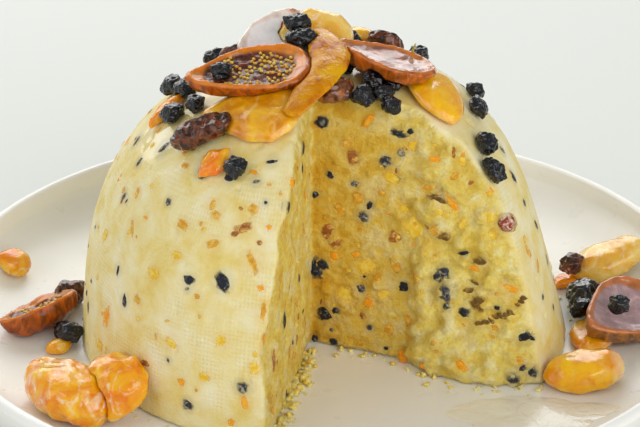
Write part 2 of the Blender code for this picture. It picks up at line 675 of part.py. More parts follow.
def make_foot_fruit():
    """Fruit lying on the plate round the foot of the cheese: right, left and behind."""
    def put(name, shape, material, x, y, lift=0.0, turn=0.0, tilt=0.0):
        lay(name, stand_rigid(shape, on_plate(x, y, lift), turn, tilt), material, plated=True)

    def settle(name, shape, material, x, y, turn=0.0):
        lay(name, spread(shape, x, y, turn), material, plated=True)

    settle("apricot_slice", cushion_form(26, 17, 5.0, 14, uneven=1.0), "apricot", 95.0, -13.0, 70.0)
    settle("apricot_foot_right", cushion_form(29, 20, 11.0, uneven=1.4), "apricot", 87.5, -44.0, 12.0)
    settle("apricot_far_right", cushion_form(30, 19, 10.0, uneven=1.4), "apricot", 106.0, 35.5, 14.0)
    settle("peel_foot_right", peel_form(13, 8), "peel", 90.0, 29.0, 50.0)
    put("prune", wrinkled_form(19, 14, 12, 2, 0.4), "currant", 94.5, 11.0, 5.4, 75.0)
    put("raisin_foot_right", wrinkled_form(12, 9, 8, 2, 0.5), "raisin", 92.5, 30.0, 8.5, 40.0)
    put("currant_foot_1", wrinkled_form(10, 7, 7, 2, 0.5), "currant", 92.0, -2.5, 7.0, 20.0)
    put("fig_foot_right", fig_form(38, 27, 12.0), "fig", 106.0, -12.5, 12.0, 40.0, 22.0)
    put("currant_foot_2", wrinkled_form(8, 7, 7, 2, 0.4), "currant", 102.0, -18.0, 16.5)

    put("raisin_foot_left", wrinkled_form(15, 11, 10, 2, 0.5), "raisin", -93.0, 13.0, 4.4, 70.0)
    settle("apricot_small", cushion_form(11, 7, 4.0, 12, uneven=0.8), "apricot", -93.0, -22.0, 40.0)
    put("currant_foot_3", wrinkled_form(9, 8, 7.5, 2, 0.45), "currant", -91.0, -13.0, 3.4)
    put("currant_foot_4", wrinkled_form(9, 7.5, 7, 2, 0.45), "currant", -88.5, -19.5, 6.5)
    put("fig_foot_left", fig_form(33, 22, 10.0), "fig", -103.0, -4.0, 9.0, 52.0, -24.0)
    settle("apricot_far_left", cushion_form(15, 11, 7.0, 14, uneven=1.0), "apricot", -115.5, 32.0, 60.0)
    settle("apricot_foot_left_1", cushion_form(38, 25, 15.0, uneven=1.6), "apricot", -84.0, -62.0, -46.0)
    put("apricot_foot_left_2", cushion_form(27, 26, 12.0, uneven=1.6), "apricot",
        -67.5, -61.0, 6.5, -45.0, 34.0)

    put("fig_behind", fig_form(34, 23, 10.0), "fig", 24.0, 103.0, 9.0, 160.0, 10.0)
    settle("apricot_behind", cushion_form(32, 20, 10.0, uneven=1.4), "apricot", -18.0, 104.0, 10.0)
    put("raisin_behind", wrinkled_form(13, 10, 9, 2, 0.5), "raisin", 52.0, 88.0, 4.0, 30.0)
    put("currant_behind", wrinkled_form(9, 8, 7, 2, 0.45), "currant", 3.0, 97.0, 3.2)


materials = {}
for old in list(bpy.data.objects):
    bpy.data.objects.remove(old)
for slot in COLOURS:
    materials[slot] = make_material(slot)
paskha = bpy.data.objects.new("paskha", None)
bpy.context.scene.collection.objects.link(paskha)

make_plate()
make_cheese()
make_top_fruit()
make_foot_fruit()

for record in laid:
    bpy.data.objects.remove(record["space"])
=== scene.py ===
import math
import random

import bmesh
import bpy
import numpy as np
from mathutils import Matrix, Vector, noise
from mathutils.bvhtree import BVHTree


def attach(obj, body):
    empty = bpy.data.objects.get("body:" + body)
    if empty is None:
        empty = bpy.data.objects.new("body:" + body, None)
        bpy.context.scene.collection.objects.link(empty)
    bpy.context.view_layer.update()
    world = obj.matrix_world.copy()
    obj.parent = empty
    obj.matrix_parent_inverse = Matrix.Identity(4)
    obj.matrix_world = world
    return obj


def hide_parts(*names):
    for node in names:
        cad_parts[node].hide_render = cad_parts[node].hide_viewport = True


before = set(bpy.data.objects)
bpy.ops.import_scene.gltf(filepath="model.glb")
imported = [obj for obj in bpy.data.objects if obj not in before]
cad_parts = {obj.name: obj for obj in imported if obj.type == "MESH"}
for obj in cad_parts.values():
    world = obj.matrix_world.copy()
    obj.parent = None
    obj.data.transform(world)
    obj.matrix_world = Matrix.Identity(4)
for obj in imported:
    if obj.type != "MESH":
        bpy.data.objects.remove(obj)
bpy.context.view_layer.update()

# Lengths are millimetres and angles are degrees unless a name says otherwise.
METRES = 0.001
GAP = 0.35

# Plate, as the solid has it.
PLATE_RADIUS = 135.0
PLATE_WELL = 8.0
PLATE_WELL_RADIUS = 100.0
PLATE_RISE = 19.5
PLATE_LIP = 4.4
PLATE_WALL = 4.5
FOOT_INNER = 66.0
FOOT_OUTER = 74.0
PLATE_SIDES = 192

# Cheese, as the solid has it.
STAND = PLATE_WELL + GAP
DOME_HEIGHT = 98.0
DOME_RADIUS = 86.4
DOME_TAPER = 0.172
DOME_SHOULDER = 3.39
DOME_CORNER = 2.8
DOME_LEAN = -3.2
CORNER_FOOT = (-4.8, -15.2)
CORNER_TOP = (-4.5, -25.0)
CORNER_HEIGHT = 96.0
LEFT_HEADING = -101.6
LEFT_STEP = 2.4
LEFT_STEP_HEIGHT = 66.0
RIGHT_HEADING = -21.7
RIGHT_TWIST = 18.2
CUT_REACH = 112.0
TORN_START = 36.0
TORN_PROUD = 2.4
EDGE_ROUND = 2.6
LEFT_EDGE_ROUND = 1.3
LEFT_EDGE_TOP = 84.0
FOOT_BULGE = 4.5
SIDE_BITE = 3.4
SIDE_BITE_HEIGHT = 32.0
SIDE_BITE_REACH = 64.0
CHEESE_GRAIN = 1.02           # size of the cheese's mesh cells
WEAVE = 1.35                  # from thread to thread of the muslin
DOME_RINGS = 110
DOME_SIDES = 300
SLICE_STEPS = 80              # steps of the missing slice, upwards and along each face
SLICE_START = -6.0            # height at which the missing slice starts, below the cheese's foot
SLICE_RISE = 112.0
BASE_BAND = 0.6               # the flat underside, up to this height over the plate
CUT_EDGE = (0.5, 2.2)         # depths under the dome's skin between which it turns into the cut
NOTCH_SHADE_REACH = 46.0            # painted shade: the darker, deeper yellow near the corner of the cut reaches this far out along the right face
GLOSS_MIDDLE = (-47.0, -20.0, 93.0)
TOP_WET = STAND + 80.0        # the top is wet from about this height

# Lumps of curd that stand out of the cut faces: face, pieces, and the spans of their distance out,
# their height and their size.
CURD_LUMPS = (
    ("right", 170, (34.0, 84.0), (1.0, 84.0), (1.2, 4.6)),
    ("right", 120, (3.0, 40.0), (0.0, 84.0), (0.8, 2.3)),
    ("left", 120, (3.0, 68.0), (0.0, 84.0), (0.8, 2.0)),
    ("right", 46, (38.0, 80.0), (0.0, 16.0), (1.6, 4.4)),
)

STEM_ACROSS = 29.6            # where the stem stands, from the middle
STEM_LENGTH = 3.6
STEM_SIDES = 12
STEM_START = 8.0              # the search for the fig's far rim starts here, and goes forward
STEM_STEP = 0.4
STEM_RADIUS = 0.52
STEM_TAPER = 0.24

LEFT_CRUMBS = 240
RIGHT_CRUMBS = 36
ROUND_CRUMBS = 40
SEED_TRIES = 420
SEED_GAP = 1.35
SEED_SIZE = (0.78, 0.6, 0.5)

POOL_MIDDLE = (69.0, -64.0)
POOL_SIZE = (27.0, 12.0)
POOL_HEIGHT = 0.6
POOL_SEED = 3.0
POOL_RINGS = 16
POOL_SIDES = 120

# Lamps: heading, rise, distance, width and height in metres, power in watts, colour.
LAMPS = {
    "window": (108.0, 33.0, 2.2, 2.9, 1.6, 40.0, (1.0, 0.995, 0.98)),
    "fill": (-57.0, 20.0, 2.2, 2.0, 2.0, 34.0, (1.0, 0.99, 0.97)),
    "side": (208.0, 28.0, 2.2, 1.8, 1.8, 12.0, (1.0, 1.0, 1.0)),
}
LAMP_AIM = Vector((0.0, 0.0, 0.05))     # metres
SKY_COLOUR = (0.97, 0.99, 1.0, 1.0)
SKY_STRENGTH = 0.34
FLOOR_REACH = 3000.0
FLOOR_DROP = 0.2              # just below the foot ring, so that the two don't share a plane

# Camera: a long lens from the front, looking a little down.
CAMERA_TARGET = (-1.5, 0.0, 51.0)
CAMERA_PITCH = 25.0
CAMERA_DISTANCE = 640.0
CAMERA_LENS = 102.94
CAMERA_SENSOR = 36.0

draws = random.Random(7)


def srgb(red, green, blue):
    """Linear colour of an 8-bit display colour."""
    return tuple((v / 255.0 / 12.92) if v <= 10 else ((v / 255.0 + 0.055) / 1.055) ** 2.4
                 for v in (red, green, blue))


# ---------------------------------------------------------------- noise and number helpers

def value_noise(points, size, seed):
    """Smooth noise between -1 and 1 for an array of points; size is the distance between its knots."""
    spot = points / size
    base = np.floor(spot).astype(np.int64)
    part = spot - base
    blend = part * part * (3.0 - 2.0 * part)
    total = np.zeros(len(points))
    for corner in range(8):
        step = np.array([corner & 1, corner >> 1 & 1, corner >> 2 & 1])
        knot = base + step
        key = (knot[:, 0] * 73856093) ^ (knot[:, 1] * 19349663) ^ (knot[:, 2] * 83492791) ^ (seed * 9176213)
        key = (key & 0xFFFFFFFF) * 1103515 & 0xFFFFFFFF
        key = (key ^ (key >> 15)) * 846871 & 0xFFFFFFFF
        key = key ^ (key >> 13)
        level = (key & 0xFFFF) / 32767.5 - 1.0
        total += level * np.prod(np.where(step, blend, 1.0 - blend), axis=1)
    return total


def layered_noise(points, size, seed, layers=3, keep=0.5):
    total = np.zeros(len(points))
    weight = 1.0
    for layer in range(layers):
        total += weight * value_noise(points, size / 2 ** layer, seed + 31 * layer)
        weight *= keep
    return total


def ease(values, low, high):
    """0 below low, 1 above high, smooth between."""
    share = np.clip((values - low) / (high - low), 0.0, 1.0)
    return share * share * (3.0 - 2.0 * share)


# ---------------------------------------------------------------- mesh helpers

def add_object(name, data):
    piece = bpy.data.objects.new(name, data)
    bpy.context.scene.collection.objects.link(piece)
    return piece


def object_of(name, shape):
    """Object in metres from a bmesh in millimetres."""
    bmesh.ops.recalc_face_normals(shape, faces=shape.faces[:])
    bmesh.ops.scale(shape, verts=shape.verts[:], vec=(METRES, METRES, METRES))
    mesh = bpy.data.meshes.new(name)
    shape.to_mesh(mesh)
    shape.free()
    return add_object(name, mesh)


def read_vectors(piece, kind):
    flat = np.zeros(len(piece.data.vertices) * 3)
    piece.data.vertices.foreach_get(kind, flat)
    return flat.reshape(-1, 3)


def read_points(piece):
    return read_vectors(piece, "co") / METRES


def read_normals(piece):
    return read_vectors(piece, "normal")


def write_points(piece, points):
    piece.data.vertices.foreach_set("co", (points * METRES).ravel())
    piece.data.update()


def write_attribute(piece, name, values):
    layer = piece.data.attributes.new(name, "FLOAT", "POINT")
    layer.data.foreach_set("value", np.asarray(values, np.float32))


def bake_modifiers(piece):
    """Put the shape that the modifiers leave in the piece's own mesh."""
    bpy.context.view_layer.update()
    graph = bpy.context.evaluated_depsgraph_get()
    mesh = bpy.data.meshes.new_from_object(piece.evaluated_get(graph))
    piece.modifiers.clear()
    piece.data = mesh


def voxel_remesh(piece, size):
    step = piece.modifiers.new("grain", "REMESH")
    step.mode = "VOXEL"
    step.voxel_size = size * METRES
    step.use_smooth_shade = True
    bake_modifiers(piece)


def relax(piece, rounds):
    step = piece.modifiers.new("relax", "SMOOTH")
    step.iterations = rounds
    step.factor = 0.5
    bake_modifiers(piece)


def smooth_shading(piece):
    piece.data.polygons.foreach_set("use_smooth", [True] * len(piece.data.polygons))


def surface_tree(piece):
    return BVHTree.FromPolygons([Vector(p) for p in read_points(piece)],
                                [tuple(face.vertices) for face in piece.data.polygons])


def random_shift():
    return Vector((draws.uniform(-50, 50), draws.uniform(-50, 50), draws.uniform(-50, 50)))


def turned(radius, turn, height):
    """Point this far out and this high, at this turn in radians."""
    return radius * math.cos(turn), radius * math.sin(turn), height


def dress(piece, look, slot, *nodes):
    """Material, smooth shading and the place in the frame."""
    piece.data.materials.clear()
    piece.data.materials.append(materials[look])
    smooth_shading(piece)
    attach(piece, "root")
    if nodes:
        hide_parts(*nodes)
    return piece


# ---------------------------------------------------------------- surfaces of the solids

def dome_outline(height):
    share = min(max(height / DOME_HEIGHT, 0.0), 1.0)
    full = DOME_RADIUS - DOME_TAPER * height
    return full * (1.0 - share ** DOME_SHOULDER) ** (1.0 / DOME_CORNER)


def dome_lean(height):
    return DOME_LEAN * math.sin(math.pi * min(max(height / DOME_HEIGHT, 0.0), 1.0))


def dome_field(points):
    """Distance from the dome, minus inside, and the way out, for an array of points."""
    height = np.maximum(points[:, 2] - STAND, 0.0)
    x = points[:, 0] - DOME_LEAN * np.sin(np.pi * np.clip(height / DOME_HEIGHT, 0.0, 1.0))
    y = points[:, 1]
    radius = np.maximum(np.hypot(x, y), 0.01)
    full = DOME_RADIUS - DOME_TAPER * height
    across = radius / full
    up = height / DOME_HEIGHT
    value = across ** DOME_CORNER + up ** DOME_SHOULDER - 1.0
    slope_out = DOME_CORNER * across ** (DOME_CORNER - 1.0) / full
    slope_up = DOME_SHOULDER * up ** (DOME_SHOULDER - 1.0) / DOME_HEIGHT + slope_out * across * DOME_TAPER
    steep = np.maximum(np.hypot(slope_out, slope_up), 0.004)
    way = np.stack([slope_out * x / radius, slope_out * y / radius, slope_up], 1) / steep[:, None]
    return value / steep, way


def dome_spot(degrees, height):
    """Point of the skin and the way out there."""
    heading = math.radians(degrees)
    radius = dome_outline(height)
    point = np.array([[dome_lean(height) + radius * math.cos(heading), radius * math.sin(heading),
                       STAND + height]])
    _, way = dome_field(point)
    return Vector(point[0]), Vector(way[0]).normalized()


def plate_top(radius):
    wall = PLATE_RADIUS - PLATE_LIP / 2.0 - PLATE_WELL_RADIUS
    share = min(max((radius - PLATE_WELL_RADIUS) / wall, 0.0), 1.0)
    return PLATE_WELL + PLATE_RISE * (1.0 - math.sqrt(1.0 - share * share))


def corner_line(height):
    return Vector(CORNER_FOOT).lerp(Vector(CORNER_TOP), height / CORNER_HEIGHT)


def face_heading(face, height):
    """Way a cut face runs out from the corner line, and the way into the cheese behind it."""
    if face == "left":
        step = min(max((height - LEFT_STEP_HEIGHT) / 8.0, 0.0), 1.0)
        heading = math.radians(LEFT_HEADING + LEFT_STEP * step)
        return Vector((math.cos(heading), math.sin(heading))), Vector((math.sin(heading), -math.cos(heading)))
    heading = math.radians(RIGHT_HEADING + RIGHT_TWIST * height / CORNER_HEIGHT)
    return Vector((math.cos(heading), math.sin(heading))), Vector((-math.sin(heading), math.cos(heading)))


def face_relief(face, out, height):
    coarse = noise.noise(Vector((out * 0.07, height * 0.05, 3.0 if face == "left" else 11.0)))
    fine = noise.noise(Vector((out * 0.21, height * 0.16, 7.0 if face == "left" else 19.0)))
    if face == "left":
        bite = math.hypot((height - SIDE_BITE_HEIGHT) / 7.5, (out - SIDE_BITE_REACH) / 14.0)
        return 1.1 * coarse + 0.7 * fine + SIDE_BITE * math.exp(-bite * bite)
    start = TORN_START + 5.0 * noise.noise(Vector((height * 0.09, 5.0, 2.0)))
    torn = min(max((out - start) / 4.0, 0.0), 1.0)
    foot = FOOT_BULGE * math.exp(-(height / 16.0) ** 2) * math.exp(-((out - 56.0) / 17.0) ** 2)
    return (0.8 + 2.0 * torn) * coarse + (0.5 + 1.8 * torn) * fine - TORN_PROUD * torn - foot


def face_point(face, out, height):
    way, into = face_heading(face, height)
    flat = corner_line(height) + way * out
    point = Vector((flat.x, flat.y, STAND + height))
    depth = float(dome_field(np.array([point]))[0][0])
    edge = LEFT_EDGE_ROUND if face == "left" and height < LEFT_EDGE_TOP else EDGE_ROUND
    back = face_relief(face, out, height) + edge * math.exp(min(depth, 0.0) / 3.0)
    return point + Vector((into.x, into.y, 0.0)) * (back * min(out / 6.0, 1.0))


def face_spot(face, out, height):
    """Point of a cut face and the way out of the cheese there."""
    _, into = face_heading(face, height)
    return face_point(face, out, height), -Vector((into.x, into.y, 0.0)).normalized()


# ---------------------------------------------------------------- materials

class Paint:
    """Node graph of one material, ending in a Principled shader."""

    def __init__(self, name, roughness=0.4, ior=1.45, subsurface=0.0, depth=(1.0, 0.6, 0.3), reach=2.0,
                 coat=0.0, coat_roughness=0.05, specular=0.5):
        self.material = bpy.data.materials.new(name)
        self.material.use_nodes = True
        self.nodes = self.material.node_tree.nodes
        self.links = self.material.node_tree.links
        self.shader = self.nodes["Principled BSDF"]
        self.set("Roughness", roughness)
        self.set("IOR", ior)
        self.set("Subsurface Weight", subsurface)
        self.set("Subsurface Radius", depth)
        self.set("Subsurface Scale", reach * METRES)
        self.set("Coat Weight", coat)
        self.set("Coat Roughness", coat_roughness)
        self.set("Specular IOR Level", specular)
        self.place = self.node("TexCoord").outputs["Object"]

    def set(self, socket, value):
        self.shader.inputs[socket].default_value = value

    def link(self, source, target):
        self.links.new(source, target)

    def node(self, kind, **numbers):
        """New node with the sockets of these names set."""
        node = self.nodes.new("ShaderNode" + kind)
        for socket, number in numbers.items():
            node.inputs[socket].default_value = number
        return node

    def noise(self, size, detail=3.0, rough=0.55, squeeze=(1.0, 1.0, 1.0), warp=0.0):
        """Noise with features of about this size in millimetres, 0 to 1."""
        mapping = self.node("Mapping", Scale=squeeze)
        self.link(self.place, mapping.inputs["Vector"])
        node = self.node("TexNoise", Scale=1.0 / (size * METRES), Detail=detail, Roughness=rough,
                         Distortion=warp)
        self.link(mapping.outputs["Vector"], node.inputs["Vector"])
        return node.outputs["Fac"]

    def cell_tone(self, size, bend):
        """Even tone in each cell of about this size, with the borders bent by noise, 0 to 1."""
        wander = self.node("TexNoise", Scale=1.0 / (size * 0.45 * METRES), Detail=4.0, Roughness=0.65)
        self.link(self.place, wander.inputs["Vector"])
        push = self.node("VectorMath")
        push.operation = "MULTIPLY_ADD"
        self.link(wander.outputs["Color"], push.inputs[0])
        push.inputs[1].default_value = (bend * METRES,) * 3
        self.link(self.place, push.inputs[2])
        node = self.node("TexVoronoi", Scale=1.0 / (size * METRES))
        self.link(push.outputs[0], node.inputs["Vector"])
        split = self.node("SeparateColor")
        self.link(node.outputs["Color"], split.inputs[0])
        return split.outputs[0]

    def attribute(self, name):
        node = self.node("Attribute")
        node.attribute_name = name
        return node.outputs["Fac"]

    def math(self, operation, first, second=None, clamp=False):
        node = self.node("Math")
        node.operation = operation
        node.use_clamp = clamp
        for socket, value in zip(node.inputs, (first, second)):
            if value is None:
                continue
            if isinstance(value, (int, float)):
                socket.default_value = value
            else:
                self.link(value, socket)
        return node.outputs[0]

    def times(self, first, second):
        return self.math("MULTIPLY", first, second)

    def less(self, value):
        """What the value leaves of 1."""
        return self.math("SUBTRACT", 1.0, value, clamp=True)

    def span(self, value, low, high, start=0.0, end=1.0):
        """The value mapped from low..high to start..end, kept inside."""
        node = self.node("MapRange")
        for socket, number in zip(("From Min", "From Max", "To Min", "To Max"), (low, high, start, end)):
            node.inputs[socket].default_value = number
        self.link(value, node.inputs["Value"])
        return node.outputs["Result"]

    def ramp(self, factor, *stops):
        node = self.node("ValToRGB")
        marks = node.color_ramp.elements
        while len(marks) < len(stops):
            marks.new(0.5)
        for mark, (position, colour) in zip(marks, stops):
            mark.position = position
            mark.color = (*colour, 1.0)
        self.link(factor, node.inputs["Fac"])
        return node.outputs["Color"]

    def mix(self, factor, first, second, blend="MIX"):
        node = self.node("Mix")
        node.data_type = "RGBA"
        node.blend_type = blend
        if isinstance(factor, (int, float)):
            node.inputs["Factor"].default_value = factor
        else:
            self.link(factor, node.inputs["Factor"])
        for socket, value in ((node.inputs[6], first), (node.inputs[7], second)):
            if isinstance(value, tuple):
                socket.default_value = (*value, 1.0)
            else:
                self.link(value, socket)
        return node.outputs[2]

    def colour(self, source):
        self.link(source, self.shader.inputs["Base Color"])

    def roughness(self, source):
        self.link(source, self.shader.inputs["Roughness"])

    def rough_patches(self, size, low, high):
        """Roughness from low to high, in patches of about this size."""
        self.roughness(self.span(self.noise(size, 3.0), 0.3, 0.7, low, high))

    def bump(self, *layers):
        """Relief from pairs of (height source, depth in millimetres)."""
        last = None
        for height, depth in layers:
            node = self.node("Bump", Strength=1.0, Distance=depth * METRES)
            self.link(height, node.inputs["Height"])
            if last is not None:
                self.link(last, node.inputs["Normal"])
            last = node.outputs["Normal"]
        self.link(last, self.shader.inputs["Normal"])


def porcelain_material():
    paint = Paint("porcelain_glaze", roughness=0.3, ior=1.5, coat=0.1, coat_roughness=0.2)
    cloud = paint.noise(26.0, 2.0)
    clean = paint.ramp(cloud, (0.3, srgb(244, 243, 236)), (0.7, srgb(248, 247, 242)))
    specks = paint.span(paint.noise(1.4, 1.0), 0.74, 0.80)
    paint.colour(paint.mix(paint.times(specks, 0.25), clean, srgb(226, 219, 200)))
    paint.rough_patches(9.0, 0.26, 0.36)
    paint.bump((paint.noise(14.0, 1.0), 0.05))
    return paint.material


def cheese_material():
    paint = Paint("curd_cheese", roughness=0.5, ior=1.42, subsurface=0.3, depth=(1.0, 0.8, 0.4), reach=2.0)
    marks = ("cut", "hollow_shade", "inner", "wet", "stain", "veil")
    cut, hollow_shade, inner, wet, stain, veil = (paint.attribute(mark) for mark in marks)
    dry = paint.less(wet)
    on_skin = paint.less(cut)
    patches = paint.noise(12.0, 5.0, 0.62, warp=0.4)
    skin = paint.ramp(patches, (0.32, srgb(241, 233, 196)), (0.47, srgb(237, 223, 166)),
                      (0.60, srgb(233, 212, 134)), (0.76, srgb(225, 193, 84)))
    threads = weave_height(paint)
    skin = paint.mix(paint.times(paint.span(threads, 0.2, -1.4), 0.15), skin, srgb(186, 170, 112))
    mottle = paint.noise(4.6, 6.0, 0.64, warp=0.25)
    chunks = paint.times(paint.math("SUBTRACT", paint.cell_tone(6.5, 5.0), 0.5), 0.15)
    tone = paint.math("ADD", mottle, chunks)
    crumb = paint.ramp(tone, (0.33, srgb(230, 190, 44)), (0.43, srgb(242, 213, 84)),
                       (0.52, srgb(246, 227, 130)), (0.64, srgb(250, 241, 190)))
    # painted light and shade: near the corner of the cut the faces are multiplied by a deeper yellow, and the
    # outer part of the right face is mixed paler, as more light falls there
    away_from_notch = paint.less(inner)
    painted_light_outer = paint.mix(paint.times(away_from_notch, 0.38), crumb, srgb(246, 227, 134))
    # painted shade: the dips of the cut faces' relief are mixed towards a darker, deeper yellow
    shaded_dips = paint.mix(paint.times(hollow_shade, 0.45), painted_light_outer, srgb(222, 180, 26))
    gold = paint.mix(paint.times(inner, 0.9), shaded_dips, srgb(232, 198, 60), "MULTIPLY")
    grit = paint.times(paint.span(paint.noise(1.3, 3.0, 0.6), 0.46, 0.62), 0.26)
    gritty = paint.mix(grit, gold, srgb(204, 160, 48))
    body = paint.mix(cut, skin, gritty)
    veiled = paint.mix(paint.times(veil, 0.34), body, srgb(140, 134, 122))
    paint.colour(paint.mix(paint.times(stain, 0.35), veiled, srgb(220, 172, 64)))
    paint.roughness(paint.span(wet, 0.0, 1.0, 0.5, 0.08))
    curd = paint.noise(1.7, 5.0, 0.7)
    coarse = paint.times(curd, paint.times(dry, paint.span(cut, 0.0, 1.0, 0.16, 1.0)))
    paint.bump((paint.times(paint.times(threads, on_skin), dry), 0.03),
               (coarse, 1.4),
               (paint.times(paint.noise(0.7, 3.0, 0.6), dry), 0.2))
    return paint.material


def crumb_material():
    paint = Paint("curd_crumb", roughness=0.55, ior=1.42, subsurface=0.5, depth=(1.0, 0.8, 0.4), reach=2.0)
    paint.colour(paint.ramp(paint.noise(2.4, 4.0, 0.65), (0.34, srgb(242, 196, 60)),
                            (0.5, srgb(250, 224, 124)), (0.66, srgb(252, 240, 178))))
    paint.bump((paint.noise(1.0, 3.0, 0.6), 0.15))
    return paint.material


def weave_height(paint):
    """Marks of the muslin that lined the mould: two crossing sets of threads, fading in patches."""
    split = paint.node("SeparateXYZ")
    paint.link(paint.place, split.inputs[0])
    turn = paint.math("ARCTAN2", split.outputs[1], split.outputs[0])
    wobble = paint.times(paint.noise(40.0, 2.0), 9.0)
    upward = paint.times(split.outputs[2], math.tau / (WEAVE * METRES))
    around = paint.times(turn, 80.0 / WEAVE)
    rows = paint.math("SINE", paint.math("ADD", upward, wobble))
    columns = paint.math("SINE", paint.math("ADD", paint.times(around, math.tau), wobble))
    threads = paint.math("ADD", rows, columns)
    fading = paint.span(paint.noise(17.0, 3.0), 0.50, 0.62)
    return paint.times(threads, fading)


def fig_material(name, rim, skin, pulp, gloss, grain):
    """Fig half: leathery skin, clear fleshy rim and the pulp, where the mask marks them."""
    paint = Paint(name, roughness=0.25, ior=1.46, subsurface=0.5, depth=(1.0, 0.45, 0.15), reach=3.0,
                  coat=gloss, coat_roughness=0.04, specular=0.3)
    inside = paint.attribute("pulp")
    rims = paint.attribute("rim")
    folds = paint.noise(3.4, 4.0, 0.6, warp=0.8)
    streaks = paint.noise(3.0, 4.0, 0.6, (1.0, 1.0, 0.3), 0.8)
    outer = paint.ramp(streaks, (0.36, tuple(c * 0.45 for c in skin)), (0.50, skin),
                       (0.66, tuple(min(c * 1.7, 1.0) for c in skin)))
    edge = paint.ramp(paint.noise(5.0, 3.0), (0.34, tuple(c * 0.7 for c in rim)), (0.60, rim))
    patch = 2.2 if grain > 0.9 else 5.5
    dark = tuple(c * (1.0 - 0.6 * grain) for c in pulp)
    pale = tuple(min(c * (1.0 + 1.2 * grain), 1.0) for c in pulp)
    flesh = paint.ramp(paint.noise(patch, 4.0, 0.6, warp=0.6), (0.38, dark), (0.52, pulp), (0.66, pale))
    paint.colour(paint.mix(inside, paint.mix(rims, outer, edge), flesh))
    paint.rough_patches(2.6, 0.10, 0.26)
    paint.bump((folds, 0.16), (paint.noise(1.1, 4.0, 0.7), 0.16 * grain + 0.02))
    return paint.material


def apricot_material(name, low, middle, high, milk, film=0.6, relief=0.5, coat=0.6):
    """Candied fruit: clear amber flesh with a milky membrane in patches and along its edge."""
    paint = Paint(name, roughness=0.2, ior=1.47, subsurface=0.6, depth=(1.0, 0.6, 0.12), reach=4.0,
                  coat=coat, coat_roughness=0.03, specular=0.3 * min(coat / 0.5, 1.0))
    body = paint.ramp(paint.noise(8.0, 3.0, 0.55, warp=0.6), (0.34, low), (0.5, middle), (0.68, high))
    skin = paint.span(paint.noise(6.5, 5.0, 0.62, (1.0, 0.45, 1.0), 1.6), 0.54, 0.66)
    frost = paint.math("ADD", paint.attribute("frost"), paint.times(paint.noise(4.0, 4.0), 0.9))
    frosted = paint.mix(paint.span(frost, 1.25, 1.7, 0.0, 0.35), body, milk)
    paint.colour(paint.mix(paint.times(skin, film), frosted, milk))
    paint.rough_patches(3.0, 0.06, 0.30)
    paint.bump((paint.noise(6.0, 3.0, 0.55, warp=1.3), relief), (paint.noise(1.4, 3.0), 0.08))
    return paint.material


def dried_material(name, low, high, gloss, bloom, fold, fine):
    """Currant, raisin, prune or stem: dry wrinkled skin, its folds this large, its fine relief this deep."""
    paint = Paint(name, roughness=0.3, ior=1.45, subsurface=0.1, depth=(1.0, 0.3, 0.1), reach=1.2,
                  coat=gloss, coat_roughness=0.06, specular=0.2)
    folds = paint.noise(fold, 3.0, 0.5, warp=0.9)
    body = paint.ramp(folds, (0.38, low), (0.64, high))
    powder = paint.span(paint.noise(2.6, 4.0, 0.7), 0.58, 0.80)
    paint.colour(paint.mix(paint.times(powder, 0.2), body, bloom))
    paint.rough_patches(1.6, 0.12, 0.4)
    paint.bump((folds, 0.5), (paint.noise(1.0, 3.0, 0.6), fine))
    return paint.material


def set_fruit_material(name, low, high, cloud, cover, share=0.8, subsurface=0.15, rim_start=1.05):
    """Small fruit set in the cheese, streaked with curd over this much of it, its rim fading to clear."""
    paint = Paint(name, roughness=0.4, ior=1.45, subsurface=subsurface, depth=(1.0, 0.5, 0.2), reach=1.6,
                  specular=0.3)
    body = paint.ramp(paint.noise(1.7, 4.0, 0.65, warp=0.8), (0.32, low), (0.68, high))
    edge = 0.5 + (0.5 - cover) * 0.34
    film = paint.span(paint.noise(1.7, 3.0, 0.55, warp=1.0), edge - 0.02, edge + 0.14)
    streaked = paint.mix(paint.times(film, share), body, cloud)
    rim = paint.math("ADD", paint.attribute("rim"), paint.times(paint.noise(2.0, 3.0), 0.6))
    paint.colour(streaked)
    paint.link(paint.span(rim, rim_start, rim_start + 0.4, 1.0, 0.0), paint.shader.inputs["Alpha"])
    paint.bump((paint.noise(1.1, 4.0, 0.7), 0.3))
    return paint.material


def syrup_material():
    """Thin syrup as a gloss in the plate's own tone; a see-through one came out dark."""
    paint = Paint("clear_syrup", roughness=0.12, ior=1.45, coat=0.6, coat_roughness=0.06, specular=0.3)
    tone = paint.noise(12.0, 2.0)
    paint.colour(paint.ramp(tone, (0.3, srgb(246, 240, 220)), (0.7, srgb(248, 244, 230))))
    paint.bump((paint.noise(6.0, 3.0, warp=1.0), 0.7))
    return paint.material


def floor_material():
    paint = Paint("pale_floor", roughness=0.75)
    paint.colour(paint.ramp(paint.noise(400.0, 2.0), (0.3, srgb(230, 233, 227)), (0.7, srgb(232, 235, 229))))
    return paint.material


